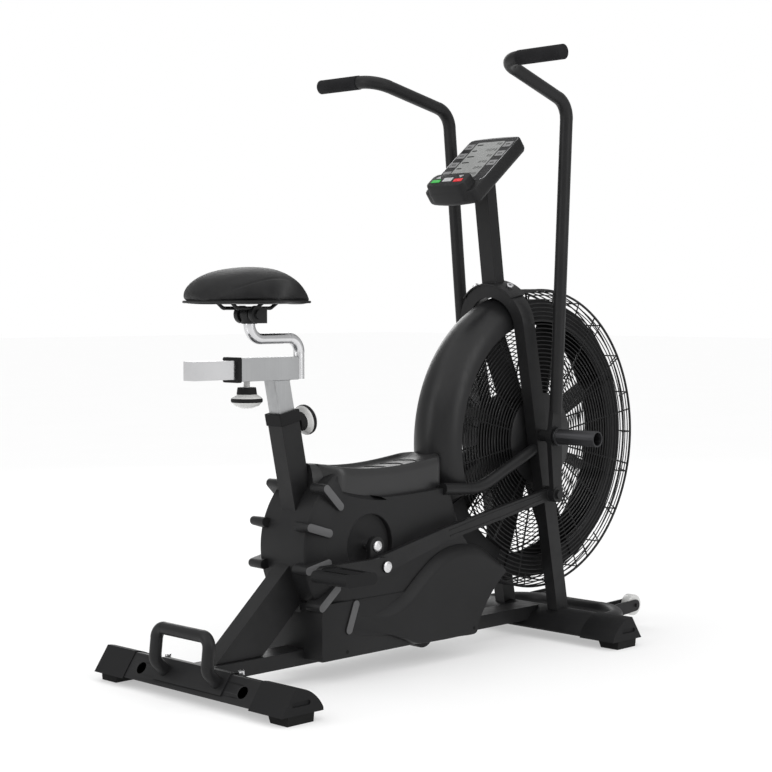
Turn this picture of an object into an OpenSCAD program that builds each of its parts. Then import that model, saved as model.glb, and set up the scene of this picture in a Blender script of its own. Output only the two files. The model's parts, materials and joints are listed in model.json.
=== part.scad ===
// Air bike: a fan-braked exercise bike with moving handles, pedals and an adjustable saddle.
// Frame: +X is forward (the way the rider faces), +Y is the rider's left, +Z is up, floor at z = 0.

/* [Base] */
// Length from the rear edge of the rear foot bar to the front edge of the front one
base_length = 1052; // [980:4:1160]
// Width of both foot bars over their end caps
base_width = 560; // [500:5:640]
// Fore-and-aft depth of a foot bar
bar_depth = 100; // [90:1:115]
// Height of a foot bar's top ridge above the floor
bar_top = 67; // [60:1:76]
// Height of a foot bar's underside above the floor
bar_under = 18; // [14:1:22]
// Length of the plastic cap on each end of a foot bar
cap_length = 92; // [60:1:110]
// Width of the long base beam
beam_w = 60; // [50:1:66]
// Height of the long base beam
beam_h = 30; // [24:1:34]

/* [Crank] */
// Crank axle, distance in front of the rear edge
crank_back = 415; // [405:1:425]
// Crank axle height
crank_z = 264; // [258:1:275]
// Crank length, axle to pedal spindle
crank_r = 170; // [150:1:175]
// Offset of the connecting rod's pin from the crank axle
throw_r = 38; // [28:1:42]
// Crank turned from straight down at rest, right side, degrees
crank_rest = 1.1; // [0:0.1:3]
// Pedal length across the foot, along the spindle
pedal_w = 96; // [80:1:104]
// Pedal length along the foot
pedal_l = 84; // [70:1:95]

/* [Housing] */
// Half width of the crank housing
housing_half = 80; // [76:1:82]
// Radius of the round rear part of the crank housing
drum_r = 166; // [158:1:170]
// Half width over the raised belt guards
guard_half = 97; // [92:1:98]
// Wall of the moulded covers
cover_wall = 3; // [2:0.5:4]

/* [Fan] */
// Fan axle, distance behind the front edge of the front foot bar
fan_back = 72; // [52:1:92]
// Fan axle height
fan_z = 446; // [436:1:470]
// Radius of the wire cage
cage_r = 335; // [320:1:345]
// Half width of the wire cage
cage_half = 53; // [50:0.5:53.5]
// Radius of the fan wheel
wheel_r = 312; // [296:1:312]
// Number of fan blades
blade_count = 8; // [6:1:10]
// Diameter of the fixed fan axle
fan_axle_d = 15; // [12:1:17]

/* [Fork and handles] */
// Lean of the fork, degrees
fork_lean = 10.7; // [9:0.1:12]
// Half distance between the fork legs' inner faces
fork_half = 64; // [62:0.5:66]
// Fork tube size across the bike
fork_w = 28; // [24:1:30]
// Fork tube size along the bike
fork_d = 38; // [34:1:42]
// Height of the handle pivots
pivot_z = 457; // [440:1:480]
// Diameter of a handle pivot stub
stub_d = 26; // [22:1:30]
// Middle of a handle lever, distance from the centre plane
lever_y = 126; // [124:1:132]
// Thickness of a handle lever at its hub
lever_t = 14; // [10:1:15]
// Handle tube diameter
handle_d = 28; // [25:1:32]
// Height of the handle's upper bend
handle_top = 1181; // [1100:1:1230]
// Length of a rubber grip
grip_l = 116; // [90:1:116]
// Foot peg length outside the lever
peg_l = 112; // [80:1:130]

/* [Seat] */
// Lean of the seat tube, degrees
seat_lean = 11.8; // [9:0.1:14]
// Seat post size across the bike
post_w = 32; // [28:1:36]
// Seat post size along the bike
post_d = 38; // [32:1:42]
// Wall of the seat tube round the post
seat_wall = 4; // [3:0.5:5]
// Slide bar size across the bike
slide_w = 33; // [28:1:38]
// Slide bar height
slide_h = 36; // [30:1:40]
// Height of the saddle's flat underside at its lowest setting
saddle_z = 747; // [735:1:765]
// Saddle length
saddle_l = 262; // [240:1:280]
// Saddle width
saddle_w = 242; // [200:1:250]
// Saddle thickness
saddle_t = 65; // [50:1:75]

/* [Console] */
// Console width
console_w = 148; // [130:1:160]
// Console length up its sloping face
console_l = 199; // [180:1:210]
// Console thickness
console_t = 34; // [26:1:38]
// Slope of the console face from level, degrees
console_tilt = 39; // [34:1:46]

/* [Fits] */
// Radial clearance of a turning fit
run_fit = 0.06; // [0.03:0.01:0.1]
// Gap beside a sliding square bar
slide_gap = 0.5; // [0.4:0.1:0.8]
// Gap between parts that move past each other
pass_gap = 1; // [0.8:0.1:1.5]

/* [Hidden] */
$fn = 64;
RIGHT = -1;
LEFT = 1;
black = [0.06, 0.06, 0.065];
satin = [0.1, 0.1, 0.105];
silver = [0.72, 0.72, 0.73];
white = [0.9, 0.9, 0.89];

// Stations along the bike, from the middle of the whole object
// The fan cage is the front end and the lift handle the rear end
handle_reach = 15.3;
rear_x = -(base_length - fan_back + cage_r - handle_reach) / 2;
front_x = rear_x + base_length;
crank_x = rear_x + crank_back;
fan_x = front_x - fan_back;
beam_z = bar_top - 2 - beam_h;
cap_grow = 2;
bar_wall = 3;
half_w = base_width / 2;

// Fork: x of its centre line at a height
pivot_x = front_x - 115;
function fork_x(z) = pivot_x + (pivot_z - z) * tan(fork_lean);
fork_out = fork_half + fork_w;
fork_mid = fork_half + fork_w / 2;
arch_r = fork_mid;
arch_z = 702;

// Drive
jack_x = rear_x + 640;
jack_z = 165;
crank_pulley_r = 118;
jack_small_r = 30;
jack_large_r = 60;
fan_pulley_r = 25;
belt_t = 4;
belt_gap = 0.4;
drive_y = 44;
drive_w = 16;
fan_belt_y = 58.6;
fan_belt_w = 7;
shaft_d = 17;
crank_shaft_d = 20;

// Planes of the linkage, distances from the centre plane
arm_in = housing_half + 8;
arm_t = 12;
rod_in = arm_in + arm_t + pass_gap;
rod_t = 12;
outer_in = rod_in + rod_t + pass_gap;
outer_t = 13;
pin_d = 14;
pedal_in = outer_in + outer_t + 3;
lever_out = lever_y + lever_t / 2;
lever_in = lever_y - lever_t / 2;

// Lower end of the handle lever
rod_pin_drop = 128;
rod_pin_fore = 12;
handle_rest = 2.4;

// Seat
seat_foot_x = rear_x + 287;
seat_foot_z = 364;
function seat_x(z) = seat_foot_x - (z - seat_foot_z) * tan(seat_lean);
seat_top_z = 534;
sleeve_z = 621.5;
sleeve_wall = 4;
sleeve_back = rear_x + 122;
sleeve_front = rear_x + 278;
s_tube_d = 22;
s_front_x = rear_x + 296;
s_top_x = rear_x + 168;
clamp_z = saddle_z - 20;
saddle_rear = rear_x + 55;
knob_x = rear_x + 161;

// Console
mast_top_z = 1040;
console_x = front_x - 245;
console_z = 1050;
chin_rise = 21;
chin_half = 55;
chin_top = console_l / 2 - 160;

// Front bar
front_bar_d = 30;
front_bar_z = 42;
front_bar_half = 172;
front_bar_x = front_x + 112;
roller_x = front_x + 186;
roller_y = 112;
roller_z = 46;
roller_r = 24;

// Pieces of one part that meet end to end run into each other by this much, the one a skin inside the other
weld = 0.3;
skin = 0.02;
bend_skin = 0.25;

function unit(v) = v / norm(v);
function side_vector(d) = abs(d[1]) > 0.9 ? [1, 0, 0] : [0, 1, 0];
// Centre of the circle of radius r through p and q, on the lower side of the chord
function arc_centre(p, q, r) = let (m = (p + q) / 2, c = q - p, h = sqrt(r * r - norm(c) * norm(c) / 4))
    m + h * [c[1], -c[0]] / norm(c);

// Puts a shape's local x, y and z along u, v and w, with its origin at o
module frame_at(o, u, v, w) {
    multmatrix([[u[0], v[0], w[0], o[0]], [u[1], v[1], w[1], o[1]], [u[2], v[2], w[2], o[2]], [0, 0, 0, 1]])
        children();
}

// Round bar from a to b
module rod_between(a, b, d) {
    w = unit(b - a);
    u = unit(cross(side_vector(w), w));
    frame_at(a, u, cross(w, u), w) cylinder(d = d, h = norm(b - a));
}

// Cylinder across the bike, from y0 to y1
module cross_pin(x, z, y0, y1, d) {
    translate([x, y1, z]) rotate([90, 0, 0]) cylinder(d = d, h = y1 - y0);
}

// Round tube through points p, with every inner corner bent to radius b
module bent_tube(p, b, d) {
    n = len(p);
    cut = [for (i = [0:n - 1]) i == 0 || i == n - 1 ? 0
        : b * tan(acos(unit(p[i] - p[i - 1]) * unit(p[i + 1] - p[i])) / 2)];
    for (i = [0:n - 2]) {
        w = unit(p[i + 1] - p[i]);
        start = i == 0 ? 0 : cut[i] - weld;
        stop = i == n - 2 ? 0 : cut[i + 1] - weld;
        rod_between(p[i] + w * start, p[i + 1] - w * stop, d);
    }
    for (i = [1:n - 2]) {
        u = unit(p[i] - p[i - 1]);
        v = unit(p[i + 1] - p[i]);
        turn = acos(u * v);
        centre = p[i] + unit(v - u) * b / cos(turn / 2);
        s = unit(p[i] - u * cut[i] - centre);
        frame_at(centre, s, u, cross(s, u))
            rotate_extrude(angle = turn) translate([b, 0]) circle(d = d + 2 * bend_skin);
    }
}

// Slab drawn in x and z, from y0 to y1
module side_slab(y0, y1) {
    translate([0, y1, 0]) rotate([90, 0, 0]) linear_extrude(y1 - y0) children();
}

// Slab on one side of the bike, from distance a to distance b
module hand_slab(side, a, b) {
    if (side > 0) side_slab(a, b) children();
    else side_slab(-b, -a) children();
}

module hand_pin(side, x, z, a, b, d) {
    if (side > 0) cross_pin(x, z, a, b, d);
    else cross_pin(x, z, -b, -a, d);
}

// Flat bar with round ends, drawn in x and z
module link_outline(x1, z1, r1, x2, z2, r2) {
    d = norm([x2 - x1, z2 - z1]);
    a = atan2(z2 - z1, x2 - x1);
    t = acos((r1 - r2) / d);
    s1 = r1 - skin;
    s2 = r2 - skin;
    translate([x1, z1]) circle(r1);
    translate([x2, z2]) circle(r2);
    polygon([[x1 + s1 * cos(a + t), z1 + s1 * sin(a + t)], [x2 + s2 * cos(a + t), z2 + s2 * sin(a + t)],
        [x2 + s2 * cos(a - t), z2 + s2 * sin(a - t)], [x1 + s1 * cos(a - t), z1 + s1 * sin(a - t)]]);
}

// Screw head with a hexagon socket; its axis points along +z
module socket_head(d, h) {
    difference() {
        cylinder(d = d, h = h);
        translate([0, 0, h * 0.4]) cylinder(d = d * 0.5, h = h, $fn = 6);
    }
}

// ---- base ----

// Foot bar section: straight outer slope, round inner flank; g grows it outwards
module bar_section(g) {
    ridge = [bar_depth * 0.335, bar_top];
    heel = [bar_depth, bar_under + 6];
    flank_r = bar_depth * 0.8;
    centre = arc_centre(ridge, heel, flank_r);
    slope = unit(ridge - [0, bar_under]);
    out = [-slope[1], slope[0]] * g;
    foot = [0, bar_under] + out;
    under = bar_under - g;
    low = foot + slope * (under - foot[1]) / slope[1];
    high = foot + slope * (bar_top + 12 - foot[1]) / slope[1];
    intersection() {
        translate(centre) circle(flank_r + g);
        polygon([low, high, [bar_depth + g, high[1]], [bar_depth + g, under]]);
    }
}

module foot_bar(length) {
    rotate([90, 0, 0]) translate([0, 0, -length / 2]) difference() {
        linear_extrude(length) bar_section(-cap_grow);
        translate([0, 0, -1]) linear_extrude(length + 2) bar_section(-cap_grow - bar_wall);
    }
}

tube_length = base_width - 24;
module rear_place() { translate([rear_x, 0, 0]) children(); }
module front_place() { translate([front_x, 0, 0]) mirror([1, 0, 0]) children(); }

module rear_stabilizer() {
    slope_angle = atan2(bar_top - bar_under, bar_depth * 0.335);
    color(black) rear_place() difference() {
        foot_bar(tube_length);
        for (side = [RIGHT, LEFT])
            translate([bar_depth * 0.17, side * half_w * 0.54, bar_under + 25]) rotate([0, -slope_angle, 0])
                translate([0, 0, -14]) cylinder(d = 24, h = 34);
    }
}

module front_stabilizer() { color(black) front_place() foot_bar(tube_length); }

module bar_cap() {
    cap_skin = 12;
    difference() {
        translate([0, half_w, 0]) rotate([90, 0, 0]) linear_extrude(cap_length) bar_section(0);
        translate([0, half_w - cap_skin, 0]) rotate([90, 0, 0]) linear_extrude(cap_length)
            bar_section(-cap_grow);
        translate([bar_depth * 0.46, half_w + 1, bar_under + 20]) rotate([90, 0, 0])
            linear_extrude(4) link_outline(-18, 0, 4.5, 18, 0, 4.5);
    }
}

module stabilizer_caps() {
    color(satin) {
        for (side = [0, 1]) rear_place() mirror([0, side, 0]) bar_cap();
        for (side = [0, 1]) front_place() mirror([0, side, 0]) bar_cap();
    }
}

module rubber_foot() {
    foot_l = 50;
    lean = 8;
    translate([bar_depth * 0.16, 0, 0]) rotate([90, 0, 90]) linear_extrude(bar_depth * 0.64)
        polygon([[half_w - lean / 2, 0], [half_w - 2, bar_under], [half_w - foot_l - lean, bar_under],
            [half_w - foot_l, 0]]);
}

module rubber_feet() {
    color(satin) {
        for (side = [0, 1]) rear_place() mirror([0, side, 0]) rubber_foot();
        for (side = [0, 1]) front_place() mirror([0, side, 0]) rubber_foot();
    }
}

module filled_bar() {
    rotate([90, 0, 0]) translate([0, 0, -half_w]) linear_extrude(base_width) {
        bar_section(-cap_grow);
        translate([bar_depth * 0.12, 0]) square([bar_depth * 0.8, bar_under + 14]);
    }
}

module lift_handle() {
    plate_half = 102;
    leg_y = 78;
    root = bar_depth * 0.2;
    foot = [root, bar_under + 28];
    rise = 62;
    color(black) rear_place() {
        difference() {
            translate([0, plate_half, 0]) rotate([90, 0, 0]) linear_extrude(2 * plate_half) intersection() {
                bar_section(1);
                translate([-5, bar_under + 12]) square([bar_depth * 0.7, 60]);
            }
            filled_bar();
            translate([bar_depth / 2, -beam_w / 2 - pass_gap, 0]) cube([bar_depth,
                beam_w + 2 * pass_gap, 100]);
        }
        difference() {
            bent_tube([[root + 6, -leg_y, foot[1] - 4], [-4, -leg_y, foot[1] + 26], [3, -leg_y,
                foot[1] + 26 + rise],
                [3, leg_y, foot[1] + 26 + rise], [-4, leg_y, foot[1] + 26], [root + 6, leg_y,
                    foot[1] - 4]], 20, 24);
            filled_bar();
        }
    }
}

strut_low = [rear_x + 181, beam_z + beam_h];
strut_high = [rear_x + 63, beam_z + beam_h];
strut_angle = 42;
strut_w = 40;
strut_len = 300;

module strut_outline(g) {
    run = [cos(strut_angle), sin(strut_angle)];
    polygon([strut_high + [-g, 0], strut_low + [g, 0], strut_low + [g, 0] + run * (strut_len - 80),
        strut_high + [-g, 0] + run * strut_len]);
}

module main_beam() {
    bracket_half = 13;
    color(black) difference() {
        union() {
            translate([rear_x + bar_depth / 2, -beam_w / 2, beam_z])
                cube([base_length - bar_depth, beam_w, beam_h]);
            side_slab(-bracket_half, bracket_half)
                link_outline(jack_x, beam_z + beam_h / 2, 34, jack_x, jack_z, 22);
        }
        rear_place() filled_bar();
        front_place() filled_bar();
        cross_pin(jack_x, jack_z, -bracket_half - 1, bracket_half + 1, shaft_d + 2 * run_fit);
    }
}

module rear_strut() {
    color(black) difference() {
        side_slab(-strut_w / 2, strut_w / 2) strut_outline(0);
        rear_place() filled_bar();
        side_slab(-strut_w, strut_w) polygon([[post_rear(0), 0], [rear_x + 700, 0], [rear_x + 700, 500],
            [post_rear(500), 500]]);
    }
}

// Lower post, from the beam up into the housing
lower_post_d = 60;
lower_post_top = 236;
function post_rear(z) = rear_x + 297 - (z - 65) * tan(seat_lean);
module post_outline() {
    low = beam_z + beam_h;
    polygon([[post_rear(low), low],
        [post_rear(low) + lower_post_d, low], [post_rear(lower_post_top) + lower_post_d, lower_post_top],
        [post_rear(lower_post_top), lower_post_top]]);
}

module on_seat_line(z) {
    translate([seat_x(z), 0, z]) rotate([0, -seat_lean, 0]) children();
}

tube_w = post_w + 2 * (seat_wall + slide_gap);
tube_d = post_d + 2 * (seat_wall + slide_gap);
shell_half = 33;
shell_r = 27;

module seat_tube() {
    foot_z = 190;
    tube_len = (seat_top_z - foot_z) / cos(seat_lean);
    bore_len = 300;
    color(black) difference() {
        union() {
            on_seat_line(foot_z) translate([-tube_d / 2, -tube_w / 2, 0]) cube([tube_d, tube_w, tube_len]);
            side_slab(1 - tube_w / 2, tube_w / 2 - 1) post_outline();
            side_slab(-14, 14) polygon([[crank_x - 4, crank_z + 22], [crank_x - 4, crank_z - 22],
                [seat_x(210), 210], [seat_x(262), 262]]);
            side_slab(-14, 14) polygon([[crank_x - 20, crank_z], [crank_x + 20, crank_z],
                [crank_x + 30, beam_z + beam_h], [crank_x - 10, beam_z + beam_h]]);
            cross_pin(crank_x, crank_z, -shell_half, shell_half, 2 * shell_r);
        }
        on_seat_line(seat_top_z) translate([-post_d / 2 - slide_gap, -post_w / 2 - slide_gap, -bore_len])
            cube([post_d + 2 * slide_gap, post_w + 2 * slide_gap, bore_len + 5]);
        cross_pin(crank_x, crank_z, -shell_half - 1, shell_half + 1, crank_shaft_d + 2 * run_fit);
        on_seat_line(knob_height_z) translate([post_d / 2, 0, 0]) rotate([0, 90, 0])
            cylinder(d = knob_stem_d + 2 * pass_gap, h = 30);
        translate([rear_x, -50, 0]) cube([base_length, 100, beam_z + beam_h]);
    }
}

module seat_collar() {
    lip = 3;
    h = 24;
    color(satin) on_seat_line(seat_top_z - (h - lip) * cos(seat_lean)) difference() {
        translate([-tube_d / 2 - lip, -tube_w / 2 - lip, 0]) cube([tube_d + 2 * lip, tube_w + 2 * lip, h]);
        translate([-tube_d / 2, -tube_w / 2, -1]) cube([tube_d, tube_w, h - lip + 1]);
        translate([-post_d / 2 - slide_gap, -post_w / 2 - slide_gap, -1])
            cube([post_d + 2 * slide_gap, post_w + 2 * slide_gap, h + 2]);
    }
}

// ---- fork, mast and braces ----

module on_fork(z) { translate([fork_x(z), 0, z]) rotate([0, -fork_lean, 0]) children(); }

module fork_leg(side) {
    length = (arch_z - 30) / cos(fork_lean);
    translate([-fork_d / 2, side * fork_mid - fork_w / 2, -length]) cube([fork_d, fork_w, length]);
}

module fork() {
    color(black) difference() {
        union() {
            on_fork(arch_z) {
                rotate([90, 0, 90]) rotate_extrude(angle = 180)
                    translate([arch_r - fork_w / 2, -fork_d / 2]) square([fork_w, fork_d]);
                fork_leg(RIGHT);
                fork_leg(LEFT);
            }
            for (side = [RIGHT, LEFT]) {
                hand_slab(side, fork_mid - 8, fork_mid + 6) link_outline(fan_x, fan_z, 22, pivot_x,
                    pivot_z - 8, 16);
                hand_pin(side, pivot_x, pivot_z, fork_mid, lever_out + 18, stub_d);
            }
        }
        front_place() filled_bar();
        translate([rear_x, -200, -1]) cube([base_length, 400, bar_under + 15]);
        cross_pin(fan_x, fan_z, -fork_out - 1, fork_out + 1, fan_axle_d);
    }
}

mast_lean = 8;
module on_mast(z) {
    translate([fork_x(arch_z) - (z - arch_z) * tan(mast_lean) - 2, 0, z]) rotate([0, -mast_lean,
        0]) children();
}

module console_mast() {
    mast_w = 40;
    mast_d = 30;
    plate_t = 4;
    length = (mast_top_z - arch_z) / cos(mast_lean);
    color(black) difference() {
        union() {
            on_mast(arch_z) translate([-mast_d / 2, -mast_w / 2, 0]) cube([mast_d, mast_w, length]);
            on_fork(arch_z) rotate([90, 0, 90]) rotate([0, 0, 42]) rotate_extrude(angle = 96)
                translate([fork_out, -fork_d / 2 - 5]) square([plate_t, fork_d + 10]);
        }
        on_fork(arch_z) rotate([0, 90, 0]) translate([0, 0, -40]) cylinder(r = fork_out, h = 80);
        on_console() translate([-console_t, -150, -150]) cube([80, 300, 300]);
    }
}

brace_d = 25;
brace_low = [fan_x - 238, 352];
brace_rear = [fan_x - 350, 361];
// The brace's straight rear end, made longer by g
module brace_line(side, d, g) {
    rod_between([brace_rear[0] - g, side * fork_mid, brace_rear[1]], [brace_low[0] - 20, side * fork_mid,
        brace_low[1] + 1.6], d);
}

module side_braces() {
    y = fork_mid;
    color(black) for (side = [RIGHT, LEFT]) difference() {
        bent_tube([[fork_x(434), side * y, 434], [brace_low[0], side * y, brace_low[1]],
            [brace_rear[0], side * y, brace_rear[1]]], 150, brace_d);
        on_fork(arch_z) fork_leg(side);
    }
}

module front_bar() {
    inner = front_x - 40;
    plate = 4;
    gap = roller_w / 2 + pass_gap;
    color(black) difference() {
        union() {
            bent_tube([[inner, -front_bar_half, front_bar_z], [front_bar_x, -front_bar_half, front_bar_z],
                [front_bar_x, front_bar_half, front_bar_z], [inner, front_bar_half, front_bar_z]], 92,
                    front_bar_d);
            for (side = [RIGHT, LEFT], edge = [-gap - plate, gap])
                translate([0, side * roller_y, 0]) side_slab(edge, edge + plate)
                    link_outline(front_bar_x, front_bar_z, 15, roller_x, roller_z, 13);
            for (side = [RIGHT, LEFT])
                cross_pin(roller_x, roller_z, side * roller_y - gap - plate - 4,
                    side * roller_y + gap + plate + 4, 8);
        }
        front_place() filled_bar();
    }
}

// ---- housing ----

guard_c = [rear_x + 640, 77];
guard_r = 170;
guard_under = 42;
body_top = 372;
face_r = 126;

module drum_half(r, half, edge) {
    translate([crank_x, 0, crank_z]) rotate([90, 0, 0]) rotate_extrude()
        polygon([[0, 0], [r, 0], [r, half - edge], [r - edge * 0.8, half], [0, half]]);
}

module body_outline(g) {
    polygon([[rear_x + 322 - g, body_top + g], [fan_x - 260, body_top + g], [fan_x - 180, guard_under - 20],
        [rear_x + 278 - g, guard_under - 20], [rear_x + 278 - g, 118 + g], [crank_x - 60, crank_z]]);
}

module guard_outline(g) {
    difference() {
        union() {
            translate(guard_c) circle(guard_r + g);
            polygon([[rear_x + 278 - g, 0], [guard_c[0], 0], [guard_c[0], 140], [crank_x + 110, 190 + g],
                [crank_x, 158], [rear_x + 278 - g, 118 + g]]);
            polygon([[guard_c[0] + 60, 60], [rear_x + 808 + g, 161], [rear_x + 800, 176 + g],
                [guard_c[0] + 60, 240]]);
        }
        translate([crank_x, crank_z]) circle(face_r - g);
        translate([rear_x + 833, 24]) circle(138 - g);
    }
}

module guard_solid(side, g) {
    intersection() {
        hand_slab(side, 0, guard_half + g) guard_outline(g);
        linear_extrude(400) polygon([[rear_x + 200, 0], [rear_x + 200, side * (housing_half + 1 + g)],
            [rear_x + 400, side * (housing_half + 1 + g)], [rear_x + 490, side * (guard_half + g)],
            [rear_x + 900, side * (guard_half + g)], [rear_x + 900, 0]]);
    }
}

module lugs(side) {
    for (a = [135, 163, 191, 219, 249])
        hand_slab(side, housing_half - 34, housing_half + 5)
            link_outline(crank_x + 120 * cos(a), crank_z + 120 * sin(a), 9,
                crank_x + 174 * cos(a), crank_z + 174 * sin(a), 9);
}

module cover(side) {
    cup_r = 63;
    cup_floor = housing_half - 14;
    difference() {
        union() {
            difference() {
                union() {
                    mirror([0, side > 0 ? 1 : 0, 0]) drum_half(drum_r, housing_half, 26);
                    hand_slab(side, 0, housing_half) difference() {
                        body_outline(0);
                        translate([fan_x, fan_z]) circle(cage_r + 4);
                    }
                    guard_solid(side, 0);
                }
                mirror([0, side > 0 ? 1 : 0, 0]) translate([0, 0.01, 0])
                    drum_half(drum_r - cover_wall, housing_half - cover_wall, 26);
                hand_slab(side, -1, housing_half - cover_wall) body_outline(-cover_wall);
                guard_solid(side, -cover_wall);
                hand_slab(side, -1, guard_half - 6) translate([fan_x, fan_z]) circle(cage_r + 4);
            }
            difference() {
                lugs(side);
                mirror([0, side > 0 ? 1 : 0, 0]) drum_half(drum_r - cover_wall,
                    housing_half - cover_wall, 26);
            }
            hand_pin(side, crank_x, crank_z, cup_floor - cover_wall, housing_half, 2 * (cup_r + cover_wall));
        }
        hand_pin(side, crank_x, crank_z, cup_floor, housing_half + 1, 2 * cup_r);
        hand_pin(side, crank_x, crank_z, 20, housing_half, crank_shaft_d + 8);
        side_slab(-strut_w / 2 - pass_gap, strut_w / 2 + pass_gap) strut_outline(pass_gap);
        on_seat_line(190) translate([-tube_d / 2 - pass_gap, -tube_w / 2 - pass_gap, 0])
            cube([tube_d + 2 * pass_gap, tube_w + 2 * pass_gap, 400]);
        translate([rear_x, -100, -1]) cube([base_length, 200, guard_under + 1]);
        translate([rear_x, -beam_w / 2 - pass_gap, 0])
            cube([base_length, beam_w + 2 * pass_gap, beam_z + beam_h + pass_gap]);
        side_slab(-tube_w / 2 - pass_gap, tube_w / 2 + pass_gap) polygon([[post_rear(0) - pass_gap, 0],
            [rear_x + 470, 0], [rear_x + 470, lower_post_top], [post_rear(lower_post_top) - pass_gap,
                lower_post_top]]);
        side_slab(-cover_top_half - pass_gap, cover_top_half + pass_gap) translate([rear_x + 318, 355])
            square([420, 200]);
        brace_line(side, brace_d + 2 * pass_gap, pass_gap);
    }
}

module cover_right() { color(satin) cover(RIGHT); }
module cover_left() { color(satin) cover(LEFT); }

// Saddle-shaped cover between the drum and the fan
cover_top_half = 62;
module top_outline(g) {
    dip_r = 420;
    difference() {
        polygon([[rear_x + 322 - g, 372 - g], [rear_x + 322 - g, 428 + g], [fan_x - 290, 428 + g],
            [fan_x - 290, 360 - g]]);
        translate([rear_x + 470, 416 + g + dip_r]) circle(dip_r);
        translate([fan_x, fan_z]) circle(cage_r + 4);
    }
}

module top_cover() {
    color(black) difference() {
        side_slab(-cover_top_half, cover_top_half) top_outline(0);
        on_seat_line(190) translate([-tube_d / 2 - pass_gap, -tube_w / 2 - pass_gap, 0])
            cube([tube_d + 2 * pass_gap, tube_w + 2 * pass_gap, 400]);
        top_pad_place(0.5) cube([pad_l, pad_w, 30]);
        side_slab(cover_wall - cover_top_half, cover_top_half - cover_wall) difference() {
            translate([rear_x + 322 + cover_wall, 340]) square([fan_x - rear_x - 600, 66]);
            translate([fan_x, fan_z]) circle(cage_r + 4 + cover_wall);
        }
    }
}

pad_l = 170;
pad_w = 90;
module top_pad_place(sink) {
    translate([rear_x + 410, -pad_w / 2, 412 - sink]) children();
}

module top_pad() {
    ridge = 8;
    color(black) top_pad_place(0.5) {
        cube([pad_l, pad_w, 4]);
        for (i = [0:floor(pad_l / ridge) - 1])
            translate([i * ridge + 1, 2, 4]) cube([ridge / 2, pad_w - 4, 2]);
    }
}

// ---- fan ----

shroud_c = 270;
shroud_half = 60;
module shroud() {
    wall = 3;
    start = 108;
    sweep = 94;
    color(black) translate([fan_x, 0, fan_z]) rotate([90, 0, 0]) rotate([0, 0, start])
        rotate_extrude(angle = sweep) difference() {
            translate([shroud_c, 0]) circle(shroud_half);
            translate([shroud_c, 0]) circle(shroud_half - wall);
            translate([0, -100]) square([shroud_c, 200]);
        }
}

face_wire = 3;
module cage_face(side) {
    wire = face_wire;
    rings = 9;
    hub = 40;
    step = (cage_r - hub) / rings;
    spokes = 12;
    hand_slab(side, cage_half - wire, cage_half) translate([fan_x, fan_z]) intersection() {
        union() {
            for (i = [0:rings]) difference() {
                circle(hub + i * step);
                circle(hub + i * step - wire);
            }
            for (i = [0:spokes - 1]) rotate(i * 360 / spokes + 15) translate([hub - 1, -wire / 2])
                square([cage_r - hub - 1, wire]);
        }
        union() {
            circle(shroud_c - 4);
            polygon([for (a = [0, 60, 102]) 500 * [cos(a), sin(a)], [0, 0],
                for (a = [-120, -60, 0]) 500 * [cos(a), sin(a)]]);
        }
    }
}

module cage_right() { color(black) cage_face(RIGHT); }
module cage_left() { color(black) cage_face(LEFT); }

module cage_hoops() {
    wire = 4;
    color(black) translate([fan_x, 0, fan_z]) rotate([90, 0, 0]) {
        for (y = [-32, 0, 32]) rotate([0, 0, -118]) rotate_extrude(angle = 216)
            translate([cage_r - wire, y - wire / 2]) square(wire);
        for (a = [-105:30:95]) rotate([0, 0, a]) translate([cage_r - wire + 1, -wire / 2,
            face_wire - cage_half])
            cube([wire - 0.5, wire, 2 * (cage_half - face_wire)]);
    }
}

module wheel_ring(inner_r) {
    translate([fan_x, fan_z]) difference() {
        circle(wheel_r);
        circle(inner_r);
    }
}

module fan_wheel() {
    hub_r = 32;
    disc_r = 100;
    rim_t = 4;
    rim_w = 46;
    rim_half = 34;
    blade_half = 38;
    color(black) difference() {
        union() {
            cross_pin(fan_x, fan_z, -44, 44, 2 * hub_r);
            cross_pin(fan_x, fan_z, 40, fan_belt_y + fan_belt_w / 2, 36);
            cross_pin(fan_x, fan_z, fan_belt_y - fan_belt_w / 2, fan_belt_y + fan_belt_w / 2,
                2 * fan_pulley_r);
            side_slab(-3, 3) translate([fan_x, fan_z]) circle(disc_r);
            side_slab(-rim_half, rim_half) wheel_ring(wheel_r - rim_t);
            side_slab(rim_half - 3, rim_half) wheel_ring(wheel_r - rim_w);
            side_slab(-rim_half, 3 - rim_half) wheel_ring(wheel_r - rim_w);
            translate([fan_x, 0, fan_z]) for (i = [0:blade_count - 1]) rotate([0,
                i * 360 / blade_count + 20, 0])
                translate([disc_r - 12, -blade_half, -1.5]) cube([wheel_r - rim_t - disc_r + 10,
                    2 * blade_half, 3]);
        }
        cross_pin(fan_x, fan_z, -100, 100, fan_axle_d + 2 * run_fit);
    }
}

module fan_axle() {
    plate_out = fork_mid + 6;
    color(silver) {
        cross_pin(fan_x, fan_z, -plate_out, plate_out, fan_axle_d);
        for (side = [RIGHT, LEFT]) hand_pin(side, fan_x, fan_z, plate_out, plate_out + 5, 22);
    }
}

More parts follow.
